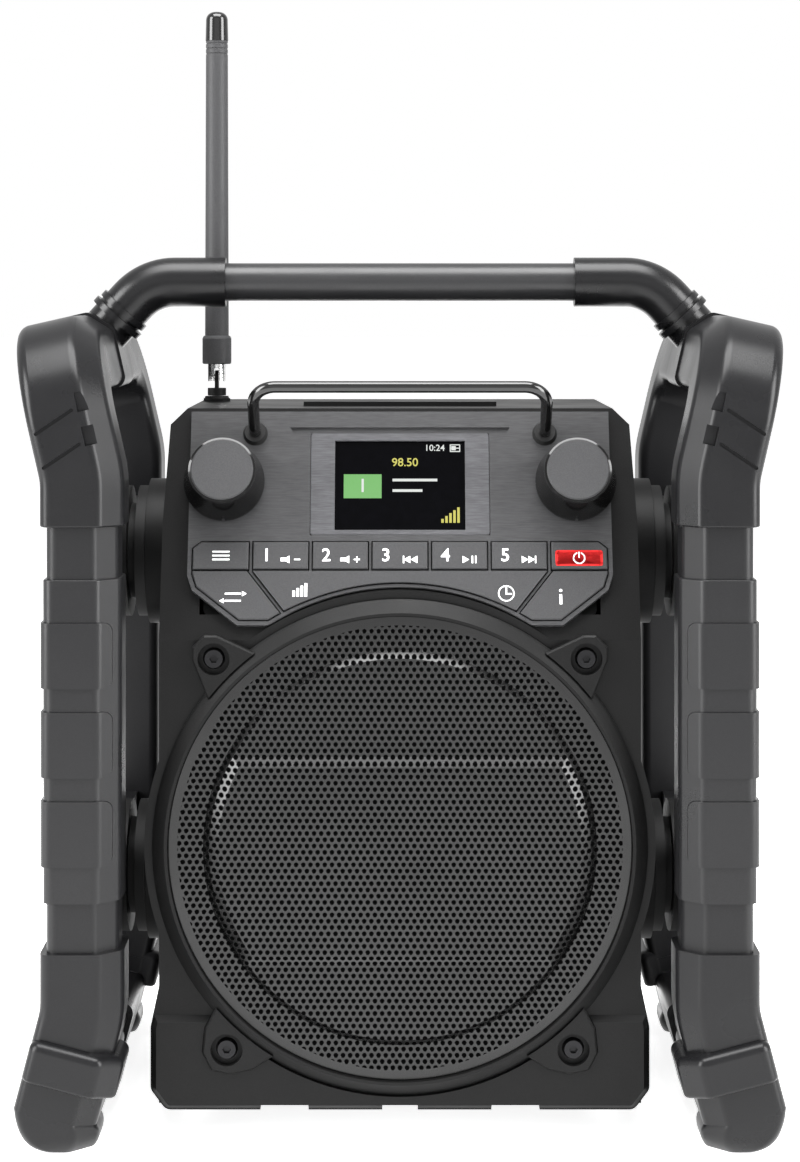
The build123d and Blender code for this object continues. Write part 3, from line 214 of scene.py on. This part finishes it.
def surface(
    name, code, rough, grain_mm, bump_mm,
    metallic=0.0, coat=0.0, spread=0.2, stretch=(1, 1, 1), gloss=0.18,
):
    """A moulded, painted or metal surface: base colour, grain, cloudy wear and fine bump.

    grain_mm is the size of the grain, bump_mm its height and spread how far its colour
    varies. A stretch below 1 draws the grain out along that axis.
    """
    material = bpy.data.materials.new(name)
    material.use_nodes = True
    tree = material.node_tree
    shader = tree.nodes["Principled BSDF"]
    place = add_node(tree, "ShaderNodeTexCoord").outputs["Object"]
    mapped = add_node(
        tree, "ShaderNodeMapping", None, {"Vector": place, "Scale": stretch}
    ).outputs[0]
    grain = add_node(
        tree,
        "ShaderNodeTexNoise",
        None,
        {"Vector": mapped, "Scale": 1 / (grain_mm * MM), "Detail": 3.0, "Roughness": 0.6},
    ).outputs["Fac"]
    cloud = add_node(
        tree, "ShaderNodeTexNoise", None, {"Vector": place, "Scale": CLOUD_SCALE, "Detail": 4.0}
    ).outputs["Fac"]
    base = linear(code)
    dark = (*[channel * (1 - spread) for channel in base[:3]], 1.0)
    light = (*[channel * (1 + spread) for channel in base[:3]], 1.0)
    blend = add_node(
        tree, "ShaderNodeMapRange", None, {0: grain, 1: GRAIN_SPAN[0], 2: GRAIN_SPAN[1]}
    ).outputs[0]
    colour = add_node(
        tree, "ShaderNodeMix", {"data_type": "RGBA"}, {0: blend, 6: dark, 7: light}
    ).outputs[2]
    roughness = add_node(
        tree,
        "ShaderNodeMapRange",
        None,
        {0: cloud, 1: CLOUD_SPAN[0], 2: CLOUD_SPAN[1], 3: rough - WEAR, 4: rough + WEAR},
    ).outputs[0]
    relief = add_node(
        tree,
        "ShaderNodeBump",
        None,
        {"Height": grain, "Distance": bump_mm * MM, "Strength": GRAIN_BUMP},
    ).outputs[0]
    tree.links.new(colour, shader.inputs["Base Color"])
    tree.links.new(roughness, shader.inputs["Roughness"])
    tree.links.new(relief, shader.inputs["Normal"])
    shader.inputs["Metallic"].default_value = metallic
    shader.inputs["Coat Weight"].default_value = coat
    shader.inputs["Specular IOR Level"].default_value = gloss
    return material


def glow(name, code):
    """A lit colour on the display."""
    material = bpy.data.materials.new(name)
    material.use_nodes = True
    shader = material.node_tree.nodes["Principled BSDF"]
    shader.inputs["Base Color"].default_value = (0.0, 0.0, 0.0, 1.0)
    shader.inputs["Emission Color"].default_value = linear(code)
    shader.inputs["Emission Strength"].default_value = 1.0
    return material


def punched_steel(name, code):
    """Black powder-coated steel sheet with staggered round holes, the holes painted near black as
    shade.
    """
    material = surface(name, code, 0.24, 0.5, 0.004, gloss=0.3)
    tree = material.node_tree
    shader = tree.nodes["Principled BSDF"]
    place = add_node(tree, "ShaderNodeTexCoord").outputs["Object"]
    sheet = add_node(
        tree,
        "ShaderNodeVectorMath",
        {"operation": "MULTIPLY"},
        {0: place, 1: (1 / MM, 0.0, 1 / MM)},
    ).outputs["Vector"]
    # distance to the nearest hole's centre, first in the even rows and then in the odd ones
    distances = []
    for shift in ((0.0, 0.0, 0.0), (GRILLE_PITCH / 2, 0.0, GRILLE_ROW)):
        moved = add_node(
            tree, "ShaderNodeVectorMath", {"operation": "ADD"}, {0: sheet, 1: shift}
        ).outputs["Vector"]
        cell = add_node(
            tree,
            "ShaderNodeVectorMath",
            {"operation": "WRAP"},
            {
                0: moved,
                1: (GRILLE_PITCH / 2, 0.0, GRILLE_ROW),
                2: (-GRILLE_PITCH / 2, 0.0, -GRILLE_ROW),
            },
        ).outputs["Vector"]
        length = add_node(tree, "ShaderNodeVectorMath", {"operation": "LENGTH"}, {0: cell})
        distances.append(length.outputs["Value"])
    near = add_node(
        tree, "ShaderNodeMath", {"operation": "MINIMUM"}, {0: distances[0], 1: distances[1]}
    ).outputs[0]
    metal = add_node(
        tree,
        "ShaderNodeMapRange",
        None,
        {0: near, 1: GRILLE_HOLE / 2 - HOLE_EDGE, 2: GRILLE_HOLE / 2 + HOLE_EDGE},
    ).outputs[0]
    radius = add_node(
        tree,
        "ShaderNodeVectorMath",
        {"operation": "DISTANCE"},
        {0: sheet, 1: (0.0, 0.0, SPEAKER_Z)},
    ).outputs["Value"]
    rim = add_node(
        tree, "ShaderNodeMath", {"operation": "GREATER_THAN"}, {0: radius, 1: PUNCHED_RADIUS}
    ).outputs[0]
    solid = add_node(
        tree, "ShaderNodeMath", {"operation": "MAXIMUM"}, {0: metal, 1: rim}
    ).outputs[0]
    relief = add_node(
        tree,
        "ShaderNodeBump",
        None,
        {"Height": solid, "Distance": HOLE_DEPTH * MM, "Strength": HOLE_BUMP},
    ).outputs[0]
    tree.links.new(relief, shader.inputs["Normal"])
    # painted shade: the holes are a near-black matt colour in place of the shade inside them
    painted_hole_shade = add_node(
        tree, "ShaderNodeBsdfDiffuse", None, {"Color": (0.001, 0.001, 0.001, 1.0)}
    ).outputs[0]
    mixed = add_node(
        tree, "ShaderNodeMixShader", None, {0: solid, 1: painted_hole_shade, 2: shader.outputs[0]}
    ).outputs[0]
    tree.links.new(mixed, tree.nodes["Material Output"].inputs["Surface"])
    return material


def rubber_materials():
    """Rubbers and silicone, by material slot."""
    return {
        # smooth moulded rubber: broad soft highlights, the clearest of the rubbers
        "guard_rubber": surface("moulded_guard_rubber", "#111112", 0.3, 0.5, 0.01, gloss=0.16),
        # painted highlight: the same rubber as the guards, a shade lighter, standing in for the
        # broad sheen on the sleeves
        "grip_rubber": surface("grip_rubber_painted_highlight", "#141415", 0.32, 0.5, 0.01, gloss=0.2),
        # dipped coating, duller than the moulded rubber
        "rail_coating": surface("dipped_rail_coating", "#121213", 0.38, 0.6, 0.012),
        # soft rubbers: near black and matt, with no clear highlight
        "damper_rubber": surface("soft_black_rubber", "#0c0c0c", 0.55, 0.6, 0.02),
        "grommet_rubber": surface("grommet_rubber", "#141414", 0.6, 0.5, 0.02),
        "flap_rubber": surface("flap_rubber", "#0f0f0f", 0.55, 0.5, 0.03),
        # moulded sheath: plain grey with a fine pitting
        "antenna_rubber": surface("moulded_antenna_rubber", "#303031", 0.5, 0.4, 0.02),
        # moulded silicone: even matt grey
        "key_silicone": surface("matt_key_silicone", "#303031", 0.55, 0.4, 0.015),
    }


def plastic_materials():
    """Plastics, glass and film, by material slot."""
    return {
        # spark-eroded moulds: a fine dark speckle that breaks the highlights up
        "housing_abs": surface(
            "spark_textured_abs", "#0c0c0c", 0.45, 0.45, 0.04, spread=0.35, gloss=0.1
        ),
        "frame_abs": surface(
            "spark_textured_grey_abs", "#0d0d0d", 0.46, 0.5, 0.05, spread=0.4, gloss=0.1
        ),
        # moulded nylon: satin and even
        "arm_nylon": surface("moulded_nylon", "#0b0b0c", 0.28, 0.4, 0.006, gloss=0.22),
        # brushed from side to side: grey with fine lines across
        "panel_grey": surface(
            "brushed_grey_plastic", "#303031", 0.38, 0.5, 0.01, stretch=(0.08, 1, 1), gloss=0.25
        ),
        "bezel_grey": surface(
            "brushed_light_grey_plastic", "#3f3f41", 0.4, 0.5, 0.01, stretch=(0.08, 1, 1)
        ),
        # polished mould: deep black with sharp reflections
        "knob_gloss": surface("polished_black_plastic", "#050505", 0.12, 1.5, 0.002, coat=0.25),
        "antenna_cap": surface("gloss_antenna_cap", "#0a0a0a", 0.15, 1.0, 0.002, coat=0.4),
        # turned cap: matt grey against the polished skirt
        "knob_cap": surface("turned_matt_plastic", "#2f2f30", 0.5, 0.4, 0.012),
        # polished display window: nearly black, with weak reflections
        "lens_black": surface(
            "polished_display_glass", "#020203", 0.08, 3.0, 0.0005, gloss=0.05
        ),
        # inner parts: module glass, satin circuit board painted near black as shade, dull cone,
        # satin film round the cells
        "display": surface("display_module_glass", "#08080a", 0.1, 3.0, 0.0005),
        # painted shade: the board is near black so the gaps beside the lower keys read as shadow
        "board_green": surface("circuit_board_painted_shade", "#0d0f0e", 0.4, 1.0, 0.01),
        "cone_poly": surface("woven_cone", "#101011", 0.6, 0.7, 0.03),
        "cell_wrap": surface("printed_cell_film", "#55585c", 0.35, 1.0, 0.004),
    }


def metal_materials():
    """Enamelled, plated and bare metals, by material slot."""
    return {
        # enamelled tube: dark grey with a soft line of light
        "handle_paint": surface("enamelled_steel_tube", "#1c1c1d", 0.36, 0.5, 0.008, gloss=0.3),
        # glossy enamel: black with one sharp line of light
        "rod_enamel": surface("gloss_enamelled_rod", "#080808", 0.15, 1.0, 0.003, coat=0.5),
        # punched and coated sheet: a satin black web, with the holes painted near black as shade
        "grille_steel": punched_steel("punched_black_steel", "#060606"),
        # blackened zinc: dark with a metal glint
        "black_screws": surface("black_zinc_screws", "#1b1b1c", 0.3, 0.4, 0.008, metallic=0.7),
        # polished chrome: reflects the studio
        "antenna_chrome": surface("polished_chrome", "#dcdcdc", 0.08, 1.0, 0.001, metallic=1.0),
        # inner parts: bright turned steel, dark stamped steel, dull ground ferrite
        "steel_parts": surface("turned_steel", "#9c9c9c", 0.3, 0.4, 0.006, metallic=1.0),
        "basket_steel": surface(
            "stamped_basket_steel", "#1f1f20", 0.45, 0.6, 0.01, metallic=0.6
        ),
        "magnet_iron": surface("ground_ferrite", "#303032", 0.6, 0.5, 0.02),
    }


MATERIALS = {}


def materials():
    """The material of each of the record's slots, made once."""
    if not MATERIALS:
        MATERIALS.update(rubber_materials())
        MATERIALS.update(plastic_materials())
        MATERIALS.update(metal_materials())
    return MATERIALS


# ---------------------------------------------------------------- modelling helpers


def dress_nodes(nodes):
    """Give CAD nodes, which keep their own shape, the materials of their slots."""
    for node in nodes:
        piece = frame["nodes"][node]
        material = materials()[NODE_SLOT[node]]
        if not piece.material_slots:
            piece.data.materials.append(material)
        for place in piece.material_slots:
            place.material = material


def hold(piece, body, material):
    """Give a finished piece its material and body."""
    piece.data.materials.clear()
    piece.data.materials.append(material)
    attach(piece, body)


def proud(node):
    """How far a node stands out of the control panel's face, in metres."""
    return max(
        sum((vertex.co[axis] - PANEL_ORIGIN[axis]) * PANEL_NORMAL[axis] for axis in range(3))
        for vertex in frame["nodes"][node].data.vertices
    )


def lay_on_panel(piece, lift):
    """Turn a flat piece, drawn in the XY plane, onto the control panel."""
    bpy.ops.object.select_all(action="DESELECT")
    piece.select_set(True)
    bpy.context.view_layer.objects.active = piece
    piece.location = [
        PANEL_ORIGIN[axis] + PANEL_NORMAL[axis] * lift for axis in range(3)
    ]
    piece.rotation_euler = (PANEL_TURN, 0.0, 0.0)
    bpy.ops.object.transform_apply(location=True, rotation=True, scale=True)


def flat_shapes(name, shapes, thick_mm=PRINT_THICK):
    """Bars, triangles and discs as one thin mesh, which starts as an emptied circle."""
    bpy.ops.object.select_all(action="DESELECT")
    bpy.ops.mesh.primitive_circle_add(vertices=3, radius=1 * MM)
    piece = bpy.context.object
    piece.name = name
    bpy.ops.object.mode_set(mode="EDIT")
    bpy.ops.mesh.select_all(action="SELECT")
    bpy.ops.mesh.delete(type="VERT")
    for sides, u, v, half_u, half_v, turn in shapes:
        bpy.ops.mesh.select_all(action="DESELECT")
        corner = math.sqrt(2) if sides == BAR else 1.0
        bpy.ops.mesh.primitive_circle_add(
            vertices=sides,
            radius=corner * MM,
            fill_type="NGON",
            rotation=(0, 0, math.radians(45 if sides == BAR else turn)),
        )
        bpy.ops.transform.resize(value=(half_u, half_v, 1.0), center_override=(0, 0, 0))
        if sides == BAR and turn:
            bpy.ops.transform.rotate(
                value=math.radians(turn), orient_axis="Z", center_override=(0, 0, 0)
            )
        bpy.ops.transform.translate(value=(u * MM, v * MM, 0.0))
    bpy.ops.mesh.select_all(action="SELECT")
    bpy.ops.mesh.extrude_region_move(
        TRANSFORM_OT_translate={"value": (0.0, 0.0, thick_mm * MM)}
    )
    bpy.ops.mesh.select_all(action="SELECT")
    bpy.ops.mesh.normals_make_consistent(inside=False)
    bpy.ops.object.mode_set(mode="OBJECT")
    return piece


def ring(name, u, v, radius, gap=0.0):
    """A ring with a gap at its top and, where there is a gap, a bar in it."""
    shapes = []
    for step in range(RING_BARS):
        angle = math.radians(90 + gap / 2 + (360 - gap) * step / (RING_BARS - 1))
        shapes.append((
            BAR,
            u + radius * math.cos(angle),
            v + radius * math.sin(angle),
            RING_BAR_HALF,
            RING_BAR_HALF,
            math.degrees(angle),
        ))
    if gap:
        shapes.append((BAR, u, v + radius * STEM_PLACE, RING_BAR_HALF, radius * STEM_HALF, 0))
    return flat_shapes(name, shapes)


def numerals(name, text, u, v, height, thick_mm=PRINT_THICK):
    """Flat numerals as a mesh."""
    bpy.ops.object.select_all(action="DESELECT")
    bpy.ops.object.text_add(location=(u * MM, v * MM, 0.0))
    piece = bpy.context.object
    piece.data.body = text
    piece.data.size = height * MM * LETTER_SIZE
    piece.data.align_x = "CENTER"
    piece.data.align_y = "CENTER"
    piece.data.extrude = thick_mm * MM
    piece.data.offset = height * MM * LETTER_BOLD
    piece.data.resolution_u = 4
    bpy.ops.object.convert(target="MESH")
    bpy.ops.object.transform_apply(location=True, rotation=True, scale=True)
    piece.name = name
    return piece


# ---------------------------------------------------------------- studio helpers


def seen_rays(tree):
    """1 for the rays that see the background: camera, glossy and transmission."""
    rays = add_node(tree, "ShaderNodeLightPath").outputs
    seen = rays["Is Camera Ray"]
    for kind in ("Is Glossy Ray", "Is Transmission Ray"):
        seen = add_node(
            tree, "ShaderNodeMath", {"operation": "MAXIMUM"}, {0: seen, 1: rays[kind]}
        ).outputs[0]
    return seen


def lay_floor():
    """White floor that keeps the radio's shadow."""
    bpy.ops.object.select_all(action="DESELECT")
    bpy.ops.mesh.primitive_plane_add(size=FLOOR_SIZE, location=FLOOR_PLACE)
    floor = bpy.context.object
    floor.name = "studio_floor"
    # painted floor: matt white without a visible edge
    material = bpy.data.materials.new("white_studio_floor")
    material.use_nodes = True
    tree = material.node_tree
    shader = tree.nodes["Principled BSDF"]
    shader.inputs["Base Color"].default_value = (0.9, 0.9, 0.9, 1.0)
    shader.inputs["Roughness"].default_value = 0.9
    shader.inputs["Emission Color"].default_value = (1.0, 1.0, 1.0, 1.0)
    strength = add_node(
        tree, "ShaderNodeMath", {"operation": "MULTIPLY"}, {0: seen_rays(tree), 1: FLOOR_GLOW}
    ).outputs[0]
    tree.links.new(strength, shader.inputs["Emission Strength"])
    floor.data.materials.append(material)


def light_world():
    """World that is white where it is seen and a weak fill on the radio."""
    world = bpy.data.worlds.new("studio")
    bpy.context.scene.world = world
    world.use_nodes = True
    tree = world.node_tree
    strength = add_node(
        tree, "ShaderNodeMapRange", None, {0: seen_rays(tree), 3: WORLD_FILL, 4: 1.0}
    ).outputs[0]
    back = tree.nodes["Background"]
    back.inputs["Color"].default_value = (1.0, 1.0, 1.0, 1.0)
    tree.links.new(strength, back.inputs["Strength"])


# ---------------------------------------------------------------- settings


class RadioScreenSettings(bpy.types.PropertyGroup):
    """What the display shows."""

    clock: bpy.props.StringProperty(
        name="Clock", description="Digits of the clock on the display", default="10:24"
    )
    station: bpy.props.StringProperty(
        name="Station", description="Digits of the tuned frequency", default="98.50"
    )


class RadioStageSettings(bpy.types.PropertyGroup):
    """Studio round the radio."""

    key_power: bpy.props.FloatProperty(
        name="Side lamps",
        description="Power of each large soft side lamp in watts",
        default=72.0,
        min=0.0,
        unit="POWER",
    )
    top_power: bpy.props.FloatProperty(
        name="Top lamp",
        description="Power of the soft lamp overhead in watts",
        default=64.0,
        min=0.0,
        unit="POWER",
    )
    front_power: bpy.props.FloatProperty(
        name="Front lamp",
        description="Power of the soft lamp behind the camera in watts",
        default=5.0,
        min=0.0,
        unit="POWER",
    )
    lens: bpy.props.FloatProperty(
        name="Lens",
        description="Focal length in mm for a 36 mm sensor",
        default=83.65,
        min=10.0,
        unit="CAMERA",
    )


# ---------------------------------------------------------------- operators


class RADIO_OT_cage(bpy.types.Operator):
    """Dress the roll cage, its rubber guards, sleeves, dampers and the handle."""

    bl_idname = "radio.cage"
    bl_label = "Dress cage"

    def execute(self, context):
        nodes = ["left_cage_frame", "right_cage_frame", "rubber_dampers", "handle_tube"]
        for end in ("front", "rear"):
            for side in ("left", "right"):
                for form in ("grip_sleeve", "top_guard", "foot_guard"):
                    nodes.append(f"{end}_{side}_{form}")
        nodes += ["left_handle_arm", "right_handle_arm"]
        dress_nodes(nodes)
        return {"FINISHED"}


class RADIO_OT_body(bpy.types.Operator):
    """Dress the housings, the speaker and its grille, the door and the inner parts."""

    bl_idname = "radio.body"
    bl_label = "Dress body"

    def execute(self, context):
        dress_nodes([
            "front_housing", "rear_housing", "speaker_frame", "frame_screws",
            "battery_door", "door_hinge_pin", "battery_cells", "main_board",
            "loudspeaker_basket", "loudspeaker_magnet", "loudspeaker_cone",
            "socket_cover", "guard_rod", "rod_grommets", "speaker_grille",
        ])
        return {"FINISHED"}


class RADIO_OT_controls(bpy.types.Operator):
    """Dress the control panel, the keys, the knobs and the display's frame."""

    bl_idname = "radio.controls"
    bl_label = "Dress controls"

    def execute(self, context):
        nodes = ["control_panel", "screen_bezel", "screen_lens", "display_module"]
        nodes += ["control_board", "encoder_bodies"]
        nodes += [node for node in NODE_BODY if node.startswith("key_")]
        for side in ("left", "right"):
            nodes += [f"{side}_encoder_shaft", f"{side}_knob", f"{side}_knob_cap"]
        dress_nodes(nodes)
        return {"FINISHED"}


class RADIO_OT_antenna(bpy.types.Operator):
    """Dress the antenna, its swivel and fork."""

    bl_idname = "radio.antenna"
    bl_label = "Dress antenna"

    def execute(self, context):
        dress_nodes(["antenna_base", "antenna_swivel", "antenna_fork", "antenna_rod", "antenna_tip"])
        return {"FINISHED"}


class RADIO_OT_prints(bpy.types.Operator):
    """Print the numerals and symbols on the keys."""

    bl_idname = "radio.prints"
    bl_label = "Print keys"

    def execute(self, context):
        # pad prints: an even film of ink, satin on the matt keys
        white = surface("white_pad_print", "#e6e6e6", 0.5, 0.6, 0.002, spread=0.05)
        red = surface("red_pad_print", "#b01c1c", 0.45, 0.6, 0.002, spread=0.1)
        top = proud("key_3") + PRINT_LIFT
        low = proud("key_strip") + PRINT_LIFT
        source_top = proud("key_source") + PRINT_LIFT
        info_top = proud("key_info") + PRINT_LIFT
        prints = []
        for node in KEY_SYMBOLS:
            number = node[-1]
            centre = (int(number) - MIDDLE_KEY) * KEY_PITCH
            numeral = numerals(
                f"numeral_{number}", number, centre + NUMERAL_U, KEY_V, NUMERAL_HEIGHT
            )
            prints.append((numeral, node, top, white))
        for node, shapes in KEY_SYMBOLS.items():
            centre = (int(node[-1]) - MIDDLE_KEY) * KEY_PITCH
            placed = [
                (sides, centre + u, KEY_V - SYMBOL_DROP + v, half_u, half_v, turn)
                for sides, u, v, half_u, half_v, turn in shapes
            ]
            prints.append((flat_shapes(node + "_symbol", placed), node, top, white))
        patch = flat_shapes("power_patch", POWER_PATCH)
        power = ring("power_symbol", POWER_U, POWER_V, POWER_RADIUS, POWER_GAP)
        prints += [
            (patch, "key_power", top, red),
            (power, "key_power", top + PRINT_THICK * MM, white),
            (flat_shapes("page_symbol", PAGE_SYMBOL), "key_page", top, white),
            (flat_shapes("loudness_symbol", LOUDNESS_SYMBOL), "key_strip", low, white),
            (flat_shapes("clock_symbol", CLOCK_HANDS), "key_strip", low, white),
            (ring("clock_ring", CLOCK_U, CLOCK_V, CLOCK_RADIUS), "key_strip", low, white),
            (flat_shapes("source_symbol", SOURCE_SYMBOL), "key_source", source_top, white),
            (flat_shapes("info_symbol", INFO_SYMBOL), "key_info", info_top, white),
        ]
        for piece, body, lift, material in prints:
            lay_on_panel(piece, lift)
            hold(piece, body, material)
        return {"FINISHED"}


class RADIO_OT_screen(bpy.types.Operator):
    """Light the display with a plain radio screen."""

    bl_idname = "radio.screen"
    bl_label = "Light display"

    def execute(self, context):
        words = context.scene.radio_screen
        # lit glass: flat colours that don't change with the lamps
        white = glow("lit_white", "#d8dcd8")
        yellow = glow("lit_yellow", "#c9c23a")
        green = glow("lit_green", "#5fae4c")
        lift = proud("screen_lens") + PRINT_LIFT
        lines = TEXT_LINES + BATTERY_SYMBOL
        groups = [
            (numerals("screen_clock", words.clock, *CLOCK_TEXT), white),
            (numerals("screen_station", words.station, *STATION_TEXT), yellow),
            (numerals("screen_number", "1", *NUMBER_TEXT, LIT_NUMBER_THICK), white),
            (flat_shapes("screen_tile", SCREEN_TILE, LIT_THICK), green),
            (flat_shapes("screen_lines", lines, LIT_THICK), white),
            (flat_shapes("screen_bars", SIGNAL_BARS, LIT_THICK), yellow),
        ]
        for piece, material in groups:
            lay_on_panel(piece, lift)
            hold(piece, "root", material)
        return {"FINISHED"}


class RADIO_OT_stage(bpy.types.Operator):
    """Build the white studio: floor, world, soft lamps and the camera."""

    bl_idname = "radio.stage"
    bl_label = "Build stage"

    def execute(self, context):
        settings = context.scene.radio_stage
        lay_floor()
        light_world()
        # name, place in metres, turn in degrees, size in metres and power
        lamps = [
            ("left_softbox", (-1.5, -0.75, 0.75), (73, 0, -64), (0.8, 1.5), settings.key_power),
            ("right_softbox", (1.5, -0.75, 0.75), (73, 0, 64), (0.8, 1.5), settings.key_power),
            ("top_softbox", (0.0, -0.35, 1.6), (12, 0, 0), (1.3, 0.9), settings.top_power),
            ("front_softbox", (0.0, -2.4, 1.0), (72, 0, 0), (2.2, 0.9), settings.front_power),
        ]
        for name, place, turn, size, power in lamps:
            bpy.ops.object.light_add(type="AREA", location=place)
            lamp = context.object
            lamp.name = name
            lamp.rotation_euler = [math.radians(angle) for angle in turn]
            lamp.data.shape = "RECTANGLE"
            lamp.data.size, lamp.data.size_y = size
            lamp.data.energy = power
        bpy.ops.object.camera_add(location=CAMERA_PLACE, rotation=(math.radians(90), 0, 0))
        camera = context.object
        camera.data.lens = settings.lens
        camera.data.sensor_width = SENSOR_WIDTH
        camera.data.shift_y = CAMERA_SHIFT
        camera.data.clip_end = VIEW_END
        context.scene.camera = camera
        context.scene.view_settings.view_transform = "Standard"
        return {"FINISHED"}


OPERATORS = [
    RADIO_OT_cage, RADIO_OT_body, RADIO_OT_controls, RADIO_OT_antenna,
    RADIO_OT_prints, RADIO_OT_screen, RADIO_OT_stage,
]


class RADIO_PT_panel(bpy.types.Panel):
    """Buttons and settings of the radio."""

    bl_idname = "RADIO_PT_panel"
    bl_label = "Jobsite radio"
    bl_space_type = "VIEW_3D"
    bl_region_type = "UI"
    bl_category = "Radio"

    def draw(self, context):
        for operator in OPERATORS:
            self.layout.operator(operator.bl_idname)
        for settings in (context.scene.radio_screen, context.scene.radio_stage):
            for key in settings.__annotations__:
                self.layout.prop(settings, key)


CLASSES = [RadioScreenSettings, RadioStageSettings, *OPERATORS, RADIO_PT_panel]


def register():
    """Register the add-on's classes and settings."""
    for item in CLASSES:
        bpy.utils.register_class(item)
    bpy.types.Scene.radio_screen = bpy.props.PointerProperty(type=RadioScreenSettings)
    bpy.types.Scene.radio_stage = bpy.props.PointerProperty(type=RadioStageSettings)


def unregister():
    """Remove the add-on's classes and settings."""
    del bpy.types.Scene.radio_stage
    del bpy.types.Scene.radio_screen
    for item in reversed(CLASSES):
        bpy.utils.unregister_class(item)


def main():
    """Build every piece in order."""
    register()
    bpy.ops.radio.cage()
    bpy.ops.radio.body()
    bpy.ops.radio.controls()
    bpy.ops.radio.antenna()
    bpy.ops.radio.prints()
    bpy.ops.radio.screen()
    bpy.ops.radio.stage()


if __name__ == "__main__":
    main()
